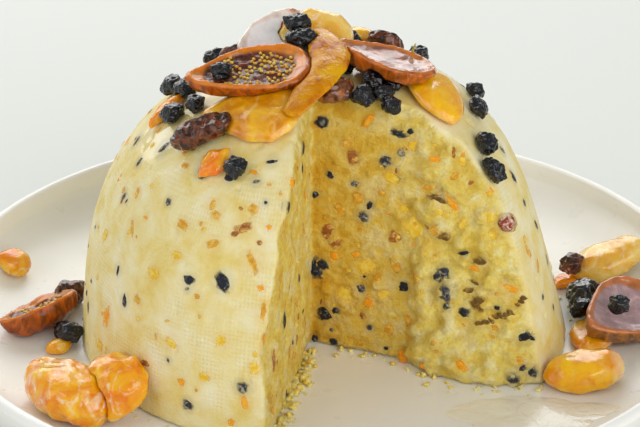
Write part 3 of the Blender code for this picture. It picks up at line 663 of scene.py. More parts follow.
# Colours are 8-bit display colours; each row's values are in the order that its function names them.
FRUIT_LOOKS = {
    fig_material: {
        "fig": ("fig_halved", (222, 132, 26), (158, 76, 8), (96, 42, 20), 0.4, 1.0),
        "fig_glazed": ("fig_glazed", (204, 122, 46), (170, 88, 20), (158, 104, 84), 0.6, 0.5),
        # painted reflection: the back fig's near-white rim and pulp stand for the window's sheen on its wet
        # face
        "fig_sheen": ("fig_sheen", (250, 236, 226), (216, 172, 140), (254, 248, 246), 1.0, 0.12),
        "fig_lilac": ("fig_lilac", (198, 122, 66), (152, 94, 22), (178, 146, 148), 0.6, 0.4),
    },
    apricot_material: {
        "apricot": ("apricot_candied", (232, 132, 0), (244, 168, 4), (250, 198, 46),
                    (254, 232, 196), 0.65, 1.1),
        "amber": ("apricot_amber", (206, 126, 6), (228, 158, 8), (242, 190, 40), (250, 226, 160), 0.3),
        "strap": ("apricot_strap", (176, 90, 0), (206, 136, 2), (226, 168, 8),
                  (244, 206, 100), 0.15, 1.1, 0.2),
        "gold": ("apricot_gold", (232, 150, 0), (244, 180, 0), (250, 198, 12), (252, 236, 188), 0.15),
        "peach": ("apricot_pale", (230, 164, 40), (240, 194, 78), (246, 216, 132), (250, 238, 206), 0.55),
        "peel": ("peel_candied", (236, 116, 2), (248, 150, 6), (252, 188, 30), (252, 210, 110), 0.2),
        "seed": ("fig_seed", (196, 126, 20), (226, 166, 44), (244, 200, 88), (250, 226, 150), 0.2),
    },
    dried_material: {
        "raisin": ("raisin_skin", (34, 14, 4), (126, 60, 18), 0.8, (150, 90, 50), 3.0, 0.06),
        "raisin_clear": ("raisin_clear", (74, 32, 10), (164, 92, 36), 1.0, (186, 130, 80), 3.4, 0.05),
        "currant": ("currant_skin", (4, 5, 8), (14, 16, 24), 0.7, (48, 54, 70), 1.5, 0.14),
        "prune": ("prune_skin", (7, 4, 5), (30, 16, 14), 0.9, (48, 38, 46), 3.0, 0.06),
        "stem": ("dry_stem", (150, 138, 44), (216, 204, 96), 0.2, (230, 224, 150), 1.2, 0.05),
    },
    set_fruit_material: {
        "set_dark": ("currant_in_curd", (12, 14, 22), (40, 44, 58), (150, 146, 128), 0.24),
        "set_veiled": ("currant_veiled", (26, 27, 38), (76, 75, 84), (196, 188, 156), 0.42, 0.7, 0.15, 0.9),
        "set_fig": ("fig_in_curd", (84, 58, 18), (138, 102, 40), (206, 176, 92), 0.26, 0.6),
        "set_berry": ("berry_in_curd", (116, 40, 38), (176, 82, 72), (240, 218, 190), 0.5, 0.8, 0.15, 1.2),
        "set_red": ("raisin_in_curd", (130, 70, 26), (190, 122, 54), (230, 196, 104), 0.34, 0.8, 0.15, 0.95),
        "set_amber": ("apricot_in_curd", (204, 140, 20), (226, 172, 44),
                      (237, 210, 112), 0.52, 0.65, 0.2, 0.95),
        "set_orange": ("peel_in_curd", (238, 146, 6), (246, 172, 24), (240, 200, 84), 0.42, 0.6, 0.2, 1.0),
        "set_yellow": ("lemon_in_curd", (226, 180, 30), (238, 202, 62),
                       (242, 222, 124), 0.52, 0.6, 0.2, 0.95),
    },
}
materials = {"porcelain": porcelain_material(), "cheese": cheese_material(), "crumb": crumb_material(),
             "syrup": syrup_material(), "floor": floor_material()}
for make_look, looks in FRUIT_LOOKS.items():
    for look, values in looks.items():
        materials[look] = make_look(*(srgb(*v) if isinstance(v, tuple) else v for v in values))


# ---------------------------------------------------------------- plate

def stacked_rings(rings, closed_top, closed_bottom):
    shape = bmesh.new()
    loops = [[shape.verts.new(point) for point in ring] for ring in rings]
    sides = len(loops[0])
    for upper, lower in zip(loops, loops[1:]):
        for i in range(sides):
            j = (i + 1) % sides
            shape.faces.new((upper[i], upper[j], lower[j], lower[i]))
    for loop, point in ((loops[0], closed_top), (loops[-1], closed_bottom)):
        tip = shape.verts.new(point)
        for i in range(sides):
            shape.faces.new((loop[i], loop[(i + 1) % sides], tip))
    return shape


def make_plate():
    lip_middle = PLATE_RADIUS - PLATE_LIP / 2.0
    lip_height = PLATE_WELL + PLATE_RISE - PLATE_LIP / 2.0
    wall = lip_middle - PLATE_WELL_RADIUS
    profile = [(40.0, PLATE_WELL), (80.0, PLATE_WELL), (95.0, PLATE_WELL), (PLATE_WELL_RADIUS, PLATE_WELL)]
    for angle in range(6, 76, 5):
        inner = wall * math.sin(math.radians(angle))
        profile.append((PLATE_WELL_RADIUS + inner, plate_top(PLATE_WELL_RADIUS + inner)))
    for angle in range(150, -31, -15):
        along, up, _ = turned(PLATE_LIP / 2.0, math.radians(angle), 0.0)
        profile.append((lip_middle + along, lip_height + up))
    for angle in range(64, 8, -6):
        inner = wall * math.sin(math.radians(angle))
        radius = PLATE_WELL_RADIUS + inner + PLATE_WALL * math.sin(math.radians(angle)) * 0.6
        profile.append((radius, plate_top(PLATE_WELL_RADIUS + inner) - PLATE_WALL))
    underside = PLATE_WELL - PLATE_WALL
    profile += [(FOOT_OUTER + 3.0, underside), (FOOT_OUTER + 0.6, underside - 1.2), (FOOT_OUTER, 0.5),
                (FOOT_OUTER - 0.6, 0.0), (FOOT_INNER + 0.6, 0.0), (FOOT_INNER, 0.5),
                (FOOT_INNER - 0.8, underside - 1.2), (FOOT_INNER - 2.2, underside)]
    turns = [math.tau * i / PLATE_SIDES for i in range(PLATE_SIDES)]
    rings = [[turned(radius, turn, z) for turn in turns] for radius, z in profile]
    plate = object_of("dish", stacked_rings(rings, (0.0, 0.0, PLATE_WELL), (0.0, 0.0, underside)))
    dress(plate, "porcelain", "porcelain", "plate")


# ---------------------------------------------------------------- cheese

def dome_shape():
    fine = [DOME_HEIGHT * (1.0 - (1.0 - i / 1500.0) ** 2) for i in range(1501)]
    run = [0.0]
    for a, b in zip(fine, fine[1:]):
        run.append(run[-1] + math.hypot(b - a, dome_outline(b) - dome_outline(a)))
    steps = np.interp(np.linspace(0.0, run[-1] * 0.995, DOME_RINGS), run, fine)
    rings = [[(dome_lean(h) + dome_outline(h) * math.cos(math.tau * i / DOME_SIDES),
               dome_outline(h) * math.sin(math.tau * i / DOME_SIDES), STAND + h) for i in range(DOME_SIDES)]
             for h in steps]
    return stacked_rings(rings, (0.0, 0.0, STAND), (0.0, 0.0, STAND + DOME_HEIGHT))


def slice_shape():
    """Space of the missing slice, fine enough for the relief of both cut faces."""
    heights = [SLICE_START + SLICE_RISE * i / SLICE_STEPS for i in range(SLICE_STEPS + 1)]
    columns = [CUT_REACH * i / SLICE_STEPS for i in range(SLICE_STEPS + 1)]
    far = []
    for i in range(1, 6):
        heading = math.radians(RIGHT_HEADING + (LEFT_HEADING - RIGHT_HEADING) * i / 6.0)
        far.append(Vector((math.cos(heading), math.sin(heading))) * CUT_REACH * 1.3)
    shape = bmesh.new()
    loops = []
    for height in heights:
        right = [face_point("right", out, height) for out in columns]
        left = [face_point("left", out, height) for out in reversed(columns[1:])]
        middle = [Vector((spot.x, spot.y, STAND + height)) for spot in far]
        loops.append([shape.verts.new(point) for point in right + middle + left])
    count = len(loops[0])
    for lower, upper in zip(loops, loops[1:]):
        for i in range(count):
            j = (i + 1) % count
            shape.faces.new((lower[i], lower[j], upper[j], upper[i]))
    shape.faces.new(loops[0])
    shape.faces.new(loops[-1])
    bmesh.ops.triangulate(shape, faces=shape.faces[:])
    return shape


def seeded(kinds):
    """Rows that start with the kind, then one draw from each of its spans."""
    return [(kind, *(draws.uniform(*span) for span in spans))
            for kind, count, spans in kinds for _ in range(count)]


def curd_lumps():
    """Crumbs and lumps of curd that stand out of the cut faces, most of them on the torn part."""
    shape = bmesh.new()
    spots = seeded(((face, count, spans) for face, count, *spans in CURD_LUMPS))
    for face, out, height, size in spots:
        point, way = face_spot(face, out, height)
        distance, _ = dome_field(np.array([point]))
        if distance[0] > -size * 0.9 or point.z < STAND + size * 0.35:
            continue
        place = (Matrix.Translation(point - way * size * 0.35)
                 @ Matrix.Rotation(draws.uniform(0.0, math.tau), 4, (0.3, 0.5, 0.8))
                 @ Matrix.Diagonal((size * draws.uniform(0.8, 1.4), size * draws.uniform(0.8, 1.2),
                                    size, 1.0)))
        bmesh.ops.create_icosphere(shape, subdivisions=1, radius=1.0, matrix=place)
    return shape


def face_sides(points):
    """For an array of points: distance out along the nearer cut face, and True where that is the left one."""
    height = points[:, 2] - STAND
    share = np.clip(height / CORNER_HEIGHT, -0.1, 1.1)
    x = points[:, 0] - (CORNER_FOOT[0] + (CORNER_TOP[0] - CORNER_FOOT[0]) * share)
    y = points[:, 1] - (CORNER_FOOT[1] + (CORNER_TOP[1] - CORNER_FOOT[1]) * share)
    step = np.clip((height - LEFT_STEP_HEIGHT) / 8.0, 0.0, 1.0)
    left = np.radians(LEFT_HEADING + LEFT_STEP * step)
    right = np.radians(RIGHT_HEADING + RIGHT_TWIST * share)
    off_left = np.abs(x * np.sin(left) - y * np.cos(left))
    off_right = np.abs(-x * np.sin(right) + y * np.cos(right))
    is_left = off_left < off_right
    out = np.where(is_left, x * np.cos(left) + y * np.sin(left), x * np.cos(right) + y * np.sin(right))
    return out, is_left


def make_cheese():
    cheese = object_of("curd_dome", dome_shape())
    cutter = object_of("cutter", slice_shape())
    step = cheese.modifiers.new("slice", "BOOLEAN")
    step.operation = "DIFFERENCE"
    step.solver = "MANIFOLD"
    step.object = cutter
    bake_modifiers(cheese)
    bpy.data.objects.remove(cutter)
    lumps = object_of("lumps", curd_lumps())
    joined = bmesh.new()
    joined.from_mesh(cheese.data)
    joined.from_mesh(lumps.data)
    joined.to_mesh(cheese.data)
    joined.free()
    bpy.data.objects.remove(lumps)
    voxel_remesh(cheese, CHEESE_GRAIN)

    points = read_points(cheese)
    distance, way = dome_field(points)
    on_base = points[:, 2] < STAND + BASE_BAND
    cut = ease(-distance, *CUT_EDGE) * (1.0 - on_base)
    snap = np.clip(1.0 - cut * 1.4, 0.0, 1.0) * (~on_base) * (np.abs(distance) < 2.0)
    points = points - way * (distance * snap)[:, None]
    write_points(cheese, points)
    normals = read_normals(cheese)

    out, is_left = face_sides(points)
    torn = ease(out + 5.0 * value_noise(points, 14.0, 5), TORN_START - 2.0, TORN_START + 5.0)
    torn = torn * (~is_left) * cut
    streaks = points * np.array([1.0, 1.0, 0.28])
    rough = (0.40 * layered_noise(points, 5.5, 1) + 0.30 * layered_noise(points, 2.2, 2, 2)
             + np.where(is_left, 0.34 * layered_noise(streaks, 1.8, 3, 2), 0.0)
             + torn * (0.95 * layered_noise(points, 8.0, 4) + 0.45 * layered_noise(points, 3.0, 6, 2)))
    skin_relief = 0.34 * value_noise(points, 24.0, 7) + 0.14 * layered_noise(points, 7.0, 8, 2)
    pits = -0.7 * ease(value_noise(points, 3.4, 9), 0.62, 0.9)
    relief = cut * rough + (1.0 - cut) * (skin_relief + pits * 0.8)
    lift = relief * np.clip((points[:, 2] - STAND) / 2.5, 0.0, 1.0)
    points = points + normals * lift[:, None]
    points[:, 2] = np.maximum(points[:, 2], STAND)
    write_points(cheese, points)

    # painted shade: high in the dips of the cut relief, where shade falls
    hollow_shade = cut * ease(-(rough + 0.25 * value_noise(points, 2.0, 12)), 0.05, 0.85)
    # painted shade for the corner of the cut: 1 there, fading out along the right face, a quarter of it over
    # the whole left face
    inner = cut * np.clip(1.0 - out / NOTCH_SHADE_REACH, 0.0, 1.0) * (~is_left) + cut * is_left * 0.25
    write_attribute(cheese, "cut", cut)
    write_attribute(cheese, "hollow_shade", hollow_shade)
    write_attribute(cheese, "inner", inner)
    return cheese


# Fruit set in the cheese, by where it shows. On the skin: degrees round from +X, height, length round,
# length up. On a cut face: distance out from the corner line, height, length along, length up.
SET_FRUIT = {
    ("skin", "set_dark"): ((-119, 79, 3.8, 3.8), (-147, 42, 1.4, 4), (-122, 49, 4.4, 3.2),
        (-113, 51, 4.4, 6.9), (-142, 34, 2.6, 4.6), (-163, 19, 2.1, 4.8), (-107, 84, 3.8, 1.3),
        (-14, 64, 3, 4.7), (-14, 55, 2.5, 3.4), (-21, 25, 2.1, 2.7), (-15, 17, 2.1, 2.8), (-9, 44, 2.4, 4),
        (-98, 66, 1.8, 3.6), (-97, 74, 2, 5), (-96, 15, 2.6, 4.2)),
    ("skin", "set_veiled"): ((-171, 74, 2.7, 5.4), (-159, 72, 2.3, 4), (-136, 68, 2.9, 2.6),
        (-107, 19, 5.1, 4.4), (-120.5, 9, 4.5, 3.9), (-156, 62, 2.7, 4), (-152, 79, 2.6, 7),
        (-146, 83, 2.2, 6), (-129, 78, 4.4, 4.4), (-110, 79, 3.4, 1.6), (-11, 72, 2.6, 4),
        (-8, 30, 2.2, 4.6)),
    ("skin", "set_red"): ((-110, 67, 6.9, 3.8), (-133, 17.5, 4.6, 2.6), (-156, 60.5, 1.8, 2.2),
        (-112, 65, 3, 2)),
    ("skin", "set_amber"): ((-150, 65.5, 2, 4.6), (-145.5, 56.5, 1.8, 6.6), (-137, 78, 3.9, 2.6),
        (-119, 69, 4.4, 3.2), (-108.5, 72, 3.8, 3.8), (-128, 64, 5, 3.6), (-117.5, 61, 5, 3),
        (-137, 37, 3.9, 3.3), (-119, 45, 2.5, 2.5), (-24, 68.5, 3.3, 3.3), (-23, 43, 2.7, 7.4),
        (-106, 58, 2.4, 8), (-102, 44, 2.2, 7), (-121, 71, 2.2, 5), (-19, 35, 2.4, 5.2)),
    ("skin", "set_orange"): ((-149, 25, 4, 8.1), (-103, 51, 2.5, 2.5), (-106.5, 14, 2.5, 4.5),
        (-122, 16, 3.2, 3.2), (-110, 6.6, 2.6, 3.2), (-29, 67, 2.6, 3.3), (-103, 68, 1.8, 2.2),
        (-112, 81, 3.4, 1.6), (-99, 80, 2.2, 3.4)),
    ("skin", "set_yellow"): ((-23, 47, 2.7, 3.4), (-127, 55, 4.2, 3.2), (-133, 47, 5, 4),
        (-112, 33, 5.2, 4.2), (-125, 28, 6, 3.4), (-158, 48, 3.6, 5), (-104, 26, 3.8, 5.4),
        (-116, 20, 4, 3.6), (-152, 12, 5, 4), (-18, 76, 3, 2.4)),
    ("left", "set_dark"): ((38, 73, 4, 3.1), (41, 32, 4.5, 7.1), (41, 3, 2.7, 2.7), (13, 83, 2.6, 4.5),
        (16.5, 76, 2.6, 5.2), (22, 38, 2, 3), (58, 52, 2.2, 3.4)),
    ("left", "set_red"): ((54.5, 24, 4.5, 9), (20, 22, 3, 5)),
    ("left", "set_amber"): ((30, 60, 2.4, 9), (47, 48, 2.6, 10), (25, 30, 2.2, 7), (52, 64, 2.2, 7),
        (34, 16, 3, 6), (12, 52, 2, 8), (60, 12, 3, 5)),
    ("left", "set_orange"): ((58, 35, 5.7, 3.2), (41, 68, 2, 2.5), (24, 8, 3, 3), (48, 84, 2, 2.6)),
    ("right", "set_dark"): ((3.7, 87, 4.6, 4.6), (29, 84, 5.2, 2.6), (32.6, 85, 2.6, 2.6),
        (6.6, 68, 2.7, 3.3), (1.5, 60, 2.7, 3.4), (1, 31, 8.2, 7.6), (4.5, 33, 4, 4), (33, 28, 4.1, 4.1),
        (6, 13, 9, 5.6), (9, 15, 3, 3), (1.3, 1.5, 3.5, 2.8), (8.5, 2, 3.5, 2.8), (53, 44, 4, 1.6),
        (55, 23, 4, 4), (75, 17, 6.8, 4.1), (78, 15.5, 3, 2), (20, 57, 1.8, 3.6), (66, 26.5, 2.6, 1.8)),
    ("right", "set_veiled"): ((25, 74, 4.6, 5.3), (30, 77, 3.3, 2.6), (14.6, 65, 3.3, 2.7), (18, 53, 3.4, 5),
        (18, 25, 3.4, 3.8), (47, 37, 5, 6), (48, 30, 4.8, 8), (45, 35, 3.4, 4.6), (75, 3.5, 5.2, 5),
        (80, 4.6, 4.6, 4.6), (77, 7, 4.4, 3), (21.5, 10, 3, 3), (49, 25, 3, 3.4)),
    ("right", "set_red"): ((6.4, 46, 6.1, 6.8), (19, 14.5, 3.5, 4.1), (47, 79, 2, 3.9), (53, 68.5, 3.3, 2),
        (40, 52, 1.6, 3), (8.5, 42, 4, 5), (14, 75, 4.9, 6), (29, 46, 5, 5)),
    ("right", "set_fig"): ((56, 31, 4, 2.7), (60, 28, 6, 4.7), (58.5, 34, 5, 1.2), (43, 63, 6, 2.4),
        (46, 50, 4.2, 3.2), (60, 42, 8, 2.4)),
    ("right", "set_berry"): ((66, 55, 5, 5.3),),
    ("right", "set_amber"): ((29, 11, 4.8, 4.8), (43, 52, 4.7, 4), (48, 71, 2.6, 4.6), (76, 10, 6.1, 4.7),
        (12, 80, 4, 3), (24, 62, 3.6, 2.4), (16, 60, 4, 5), (40, 66, 6, 3.4), (30, 36, 3, 6),
        (24, 31, 2.6, 4), (36, 16, 4, 6), (10, 55, 3, 7)),
    ("right", "set_orange"): ((19, 88, 5.9, 3.9), (16, 38, 3.4, 3.4), (8.4, 37, 3.4, 3.4), (21, 20, 3.4, 4.1),
        (35, 2, 4.2, 6.6), (48, 62, 3.3, 6.6), (41, 76.5, 3.9, 3.3), (69, 33, 6, 2.7), (57, 7, 4.8, 5.4),
        (44, 3.4, 3, 2.4), (57, 39, 4, 2)),
    ("right", "set_yellow"): ((50, 75.5, 3.3, 4.6), (60, 58, 5.3, 5.3), (61, 51, 6, 4.6), (36, 50, 6.7, 10),
        (52, 55, 2.4, 5), (27, 68, 6, 5), (20, 34, 8, 7), (12, 22, 7, 8), (34, 80, 4, 4), (44, 59, 4, 3),
        (26, 24, 6, 5), (31, 57, 6, 4)),
}
# Brown strip along the torn face: distance out and height of its stops.
STRIP_STOPS = ((60.5, 20.5), (64.5, 22.0), (68.5, 24.5), (72.0, 27.5), (75.0, 31.0), (76.5, 33.5))


VEILING = ("set_dark", "set_veiled", "set_berry")      # kinds that grey the curd round them
BOXY = ("set_amber", "set_orange", "set_yellow")       # kinds that come as dice
BERRY_FOLDS = 0.15
SET_FOLDS = 0.5
RIM_LIMIT = 1.2               # the rim's mask, 1 where the lump meets the curd, goes no further
STRIP_SIZE = (3.2, 1.9)
LARGE_FRUIT = 3.4             # from this length a piece gets the finer mesh
EDGE_KEEP = 0.8               # the cut faces' fruit starts, and the skin's shine ends, this far inside
PROBE = 9.0                   # the search for the curd's surface starts this far outside it

# How far the fruit stands out of the curd.
SKIN_PROUD = 0.25
CUT_PROUD = 0.4
DARK_PROUD = 0.7
STRIP_PROUD = 0.35
SEEDED_PROUD = 0.3

# The same fruit in the skin where it faces away: kind, pieces, and the span of their sizes.
HIDDEN_FRUIT = (
    ("set_dark", 22, (1.6, 4.8)), ("set_veiled", 20, (1.8, 5.2)), ("set_red", 11, (2.0, 5.6)),
    ("set_amber", 28, (1.8, 5.6)), ("set_orange", 16, (1.8, 4.8)), ("set_yellow", 20, (2.4, 5.6)),
)
# Small scraps between the larger fruit: their spans, and the pieces of each kind.
SCRAPS = {
    "skin": (((-178.0, -100.0), (4.0, 84.0), (0.9, 2.4), (0.9, 3.0)),
             {"dark": 4, "veiled": 6, "amber": 12, "orange": 6, "yellow": 10, "red": 3}),
    "right": (((2.0, 82.0), (1.0, 86.0), (0.9, 2.8), (0.9, 2.8)),
              {"dark": 4, "amber": 20, "orange": 5, "yellow": 24, "red": 4}),
    "left": (((3.0, 66.0), (1.0, 86.0), (0.8, 2.0), (1.6, 6.0)),
             {"dark": 4, "amber": 20, "orange": 4, "yellow": 12, "red": 5}),
}


def hidden_side_fruit():
    return seeded((("skin", kind), count, ((-2.0, 184.0), (4.0, 86.0), size, size))
                  for kind, count, size in HIDDEN_FRUIT)


def fine_front_fruit():
    return seeded(((where, "set_" + kind), count, spans)
                  for where, (spans, counts) in SCRAPS.items() for kind, count in counts.items())


def lump_into(shape, point, way, along, up, proud, folds, boxy):
    """Wrinkled lump, or a die of cut fruit, set in the cheese; what shows of it has the size asked for."""
    depth = 0.3 * min(along, up) + proud
    shows = math.sqrt(1.0 - (1.0 - proud / depth) ** 2)
    detail = 3 if max(along, up) > LARGE_FRUIT else 2
    made = bmesh.ops.create_icosphere(shape, subdivisions=detail, radius=0.5)["verts"]
    rim = shape.verts.layers.float["rim"]
    shift = random_shift()
    side = Vector((0.0, 0.0, 1.0)).cross(way)
    side = side.normalized() if side.length > 0.05 else Vector((1.0, 0.0, 0.0))
    rise = way.cross(side)
    spin = Matrix.Rotation(draws.uniform(-0.6, 0.6), 3, "Z")
    lean = draws.uniform(-0.35, 0.35)
    for vert in made:
        if boxy:
            vert.co = Vector([math.copysign((abs(c) * 2.0) ** 0.6 / 2.0, c) for c in vert.co])
            vert.co.x *= 1.0 + lean * vert.co.y * 2.0
        fold = 1.0 + folds * noise.noise(vert.co * 4.0 + shift)
        fold += folds * 0.5 * noise.noise(vert.co * 9.0 + shift)
        vert[rim] = min(2.0 * math.hypot(vert.co.x, vert.co.y) / shows, RIM_LIMIT)
        shaped = spin @ Vector((vert.co.x * along * fold, vert.co.y * up * fold, 0.0)) / shows
        vert.co = point + side * shaped.x + rise * shaped.y + way * (vert.co.z * 2.0 * depth - depth + proud)


def set_fruit(cheese):
    """Fruit set in the cheese, one object for each kind, and its marks on the curd round it."""
    tree = surface_tree(cheese)
    shapes = {kind: bmesh.new() for kind in materials if kind.startswith("set_")}
    for shape in shapes.values():
        shape.verts.layers.float.new("rim")
    marks = []

    def put(kind, where, first, second, along, up, proud):
        point, way = dome_spot(first, second) if where == "skin" else face_spot(where, first, second)
        if where != "skin" and float(dome_field(np.array([point]))[0][0]) > -EDGE_KEEP:
            return
        hit, _, _, _ = tree.ray_cast(point + way * PROBE, -way, 2.0 * PROBE)
        if hit is None:
            return
        folds = BERRY_FOLDS if kind == "set_berry" else SET_FOLDS
        lump_into(shapes[kind], hit, way, along, up, proud, folds, kind in BOXY)
        marks.append((kind, hit, max(along, up) / 2.0))

    for (where, kind), rows in SET_FRUIT.items():
        proud = SKIN_PROUD if where == "skin" else CUT_PROUD
        if where == "right" and kind in VEILING:
            proud = DARK_PROUD
        for row in rows:
            put(kind, where, *row, proud)
    for (out, height), (later, higher) in zip(STRIP_STOPS, STRIP_STOPS[1:]):
        for share in (0.0, 0.33, 0.67):
            spot = (out + (later - out) * share, height + (higher - height) * share)
            put("set_fig", "right", *spot, *STRIP_SIZE, STRIP_PROUD)
    for find_rows in (hidden_side_fruit, fine_front_fruit):
        for (where, kind), *row in find_rows():
            put(kind, where, *row, SEEDED_PROUD)

    slots = {"set_dark": "currant", "set_veiled": "currant", "set_fig": "fig", "set_berry": "raisin",
             "set_red": "raisin", "set_amber": "apricot", "set_orange": "peel", "set_yellow": "apricot"}
    for kind, shape in shapes.items():
        piece = object_of(kind.replace("set_", "fruit_in_curd_"), shape)
        piece.visible_shadow = False    # a half-clear rim would leave a dark ring on the curd under it
        dress(piece, kind, slots[kind])

    points = read_points(cheese)
    veil = np.zeros(len(points))
    stain = np.zeros(len(points))
    for kind, middle, radius in marks:
        gone = np.linalg.norm(points - np.array(middle), axis=1)
        mark = 1.0 - ease(gone, radius * 0.9, radius * 1.2 + 1.3)
        if kind in VEILING:
            veil = np.maximum(veil, mark * (0.55 if kind == "set_dark" else 0.8))
        else:
            stain = np.maximum(stain, mark * (0.5 if kind == "set_yellow" else 0.6))
    write_attribute(cheese, "veil", veil)
    write_attribute(cheese, "stain", stain)

    gone = np.linalg.norm(points - np.array(GLOSS_MIDDLE), axis=1)
    wet = 1.0 - ease(gone + 6.0 * value_noise(points, 9.0, 21), 17.0, 22.0)
    top = ease(points[:, 2] + 6.0 * value_noise(points, 14.0, 22), TOP_WET, TOP_WET + 12.0)
    distance, _ = dome_field(points)
    write_attribute(cheese, "wet", np.maximum(wet, 0.8 * top) * (distance > -EDGE_KEEP))


# ---------------------------------------------------------------- fruit on the cheese and at its foot

def copy_node(node, name):
    return add_object(name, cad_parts[node].data.copy())


def folds_along(points, size, seed):
    """Ridged noise: 1 on the crests of the folds, 0 in the valleys."""
    crest = 1.0 - np.abs(layered_noise(points, size, seed, 2, 0.4))
    return np.clip(crest, 0.0, 1.0)


def soft_piece(node, name, grain, rounds, depth, size, seed):
    """The solid's own form, with its facets smoothed away and folds of this depth and size."""
    piece = copy_node(node, name)
    voxel_remesh(piece, grain)
    relax(piece, rounds)
    points = read_points(piece)
    normals = read_normals(piece)
    lift = depth * (folds_along(points, size, seed) - FOLD_LEVEL)
    lift += 0.3 * depth * value_noise(points, size * 2.4, seed + 3)
    write_points(piece, points + normals * lift[:, None])
    return piece


def edge_share(piece):
    """0 on the broad sides of a flat piece, 1 round its edge."""
    _, axes = np.linalg.eigh(np.cov(read_points(piece).T))
    return 1.0 - ease(np.abs(read_normals(piece) @ axes[:, 0]), 0.3, 0.92)


FIGS = {                      # turn, tilt and pitch of the half fig
    "fig_back": (24.0, 28.0, -8.0), "fig_front": (8.0, 12.0, -6.0), "fig_right": (-20.0, -6.0, 12.0),
    "fig_foot_right": (40.0, 22.0, 0.0), "fig_foot_left": (52.0, -24.0, 0.0),
    "fig_behind": (160.0, 10.0, 0.0),
}
FIG_GRAIN = 0.55
FIG_ROUNDS = 5
PULP_EDGE = (0.68, 0.78)      # shares of the fig's radius between which its pulp gives way to the rim
RIM_INNER = (0.66, 0.78)
RIM_OUTER = (0.93, 1.0)
OPEN_PULP = 0.55              # roughness of a cut fig's pulp, and of a glazed one's
GLAZED_PULP = 0.1
FOLD_LEVEL = 0.75             # folds rise and sink about this level of the ridged noise
APRICOT_GRAIN = 0.6
APRICOT_FOLDS = (0.55, 9.0)   # depth and size
LUMPY_FOLDS = (1.1, 6.5)      # of the two at the left foot
LUMP_ROUNDS = 26
FLAT_ROUNDS = 8
NODE_LOOKS = {                # pieces that look unlike the rest of their kind
    "fig_back": "fig_sheen", "fig_right": "fig_glazed", "fig_foot_right": "fig_lilac",
    "apricot_strap": "strap", "apricot_under": "amber", "apricot_right": "gold", "apricot_foot_right": "gold",
    "apricot_rear": "gold", "apricot_back": "peach", "apricot_far_right": "peach",
    "raisin_centre": "raisin_clear",
}
SOFT_KINDS = {                # piece's name, grain, rounds of smoothing, depth and size of the folds, slot
    "peel": ("candied_peel", 0.45, 4, 0.4, 3.0, "peel"),
    "raisin": ("plump_raisin", 0.4, 4, 1.1, 2.8, "raisin"),
    "currant": ("dried_currant", 0.3, 3, 0.7, 1.7, "currant"),
    "prune": ("sticky_prune", 0.45, 4, 1.3, 3.4, "currant"),
}


def make_fig(node, seed, seeds):
    turn, tilt, pitch = (math.radians(v) for v in FIGS[node])
    own = np.array(Matrix.Rotation(turn, 3, "Z") @ Matrix.Rotation(pitch, 3, "Y")
                   @ Matrix.Rotation(tilt, 3, "X"))
    piece = copy_node(node, node.replace("fig", "half_fig"))
    voxel_remesh(piece, FIG_GRAIN)
    relax(piece, FIG_ROUNDS)
    points = read_points(piece)
    normals = read_normals(piece)
    local = points @ own
    facing = normals @ own
    low, high = local.min(0), local.max(0)
    middle, half = (low + high) / 2.0, (high - low) / 2.0
    x = (local[:, 0] - middle[0]) / half[0]
    y = (local[:, 1] - middle[1]) / (half[1] * (1.0 + 0.30 * x))
    share = np.hypot(x, y) + 0.05 * value_noise(points, 5.0, seed)
    upper = ease(facing[:, 2], 0.15, 0.5)
    pulp = (1.0 - ease(share, *PULP_EDGE)) * upper
    rim = ease(share, *RIM_INNER) * (1.0 - ease(share, *RIM_OUTER)) * upper
    rough = GLAZED_PULP if node in NODE_LOOKS else OPEN_PULP
    lift = (pulp * (rough * layered_noise(points, 2.2, seed + 1, 2) - rough)
            + (1.0 - pulp) * (0.4 * (folds_along(points, 5.0, seed + 2) - FOLD_LEVEL)))
    write_points(piece, points + normals * lift[:, None])
    write_attribute(piece, "pulp", pulp)
    write_attribute(piece, "rim", rim)
    dress(piece, NODE_LOOKS.get(node, "fig"), "fig", node)
    if node not in NODE_LOOKS:
        scatter_seeds(seeds, piece, pulp, normals, x)


def scatter_seeds(shape, piece, pulp, normals, along):
    """Golden seeds on the pulp of a fig, in clusters, fewer towards its stem."""
    points = read_points(piece)
    dense = value_noise(points, 4.5, 77) + 0.9 * along
    spots = np.flatnonzero((pulp > 0.75) & (dense > 0.0))
    placed = []
    for _ in range(SEED_TRIES):
        spot = int(spots[draws.randrange(len(spots))])
        here = points[spot]
        if any(np.linalg.norm(here - other) < SEED_GAP for other in placed):
            continue
        placed.append(here)
        place = (Matrix.Translation(Vector(here) + Vector(normals[spot]) * 0.12)
                 @ Matrix.Rotation(draws.uniform(0.0, math.tau), 4, "Z")
                 @ Matrix.Diagonal((*SEED_SIZE, 1.0)))
        bmesh.ops.create_icosphere(shape, subdivisions=2, radius=1.0, matrix=place)


def make_apricot(node, seed):
    """Candied apricot; a thin one is milky along its edge, the near right one at its right end."""
    lump = "foot" in node or "far" in node or node == "apricot_small"
    folds = LUMPY_FOLDS if "foot_left" in node else APRICOT_FOLDS
    rounds = LUMP_ROUNDS if lump else FLAT_ROUNDS
    name = node.replace("apricot", "candied_apricot")
    piece = soft_piece(node, name, APRICOT_GRAIN, rounds, *folds, seed)
    if node == "apricot_foot_right":
        across = read_points(piece)[:, 0]
        low, high = across.min(), across.max()
        write_attribute(piece, "frost", 1.6 * ease((across - low) / (high - low), 0.62, 0.95))
    elif not lump and node != "apricot_strap":
        write_attribute(piece, "frost", edge_share(piece))
    dress(piece, NODE_LOOKS.get(node, "apricot"), "apricot", node)


def make_fruit():
    seeds = bmesh.new()
    for i, node in enumerate(sorted(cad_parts)):
        kind = node.split("_")[0]
        seed = 40 + 7 * i
        if kind == "fig":
            make_fig(node, seed, seeds)
        elif kind == "apricot":
            make_apricot(node, seed)
        elif kind in SOFT_KINDS:
            name, *form, slot = SOFT_KINDS[kind]
            piece = soft_piece(node, node.replace(kind, name), *form, seed)
            dress(piece, NODE_LOOKS.get(node, kind), slot, node)
    dress(object_of("fig_seeds", seeds), "seed", "fig")


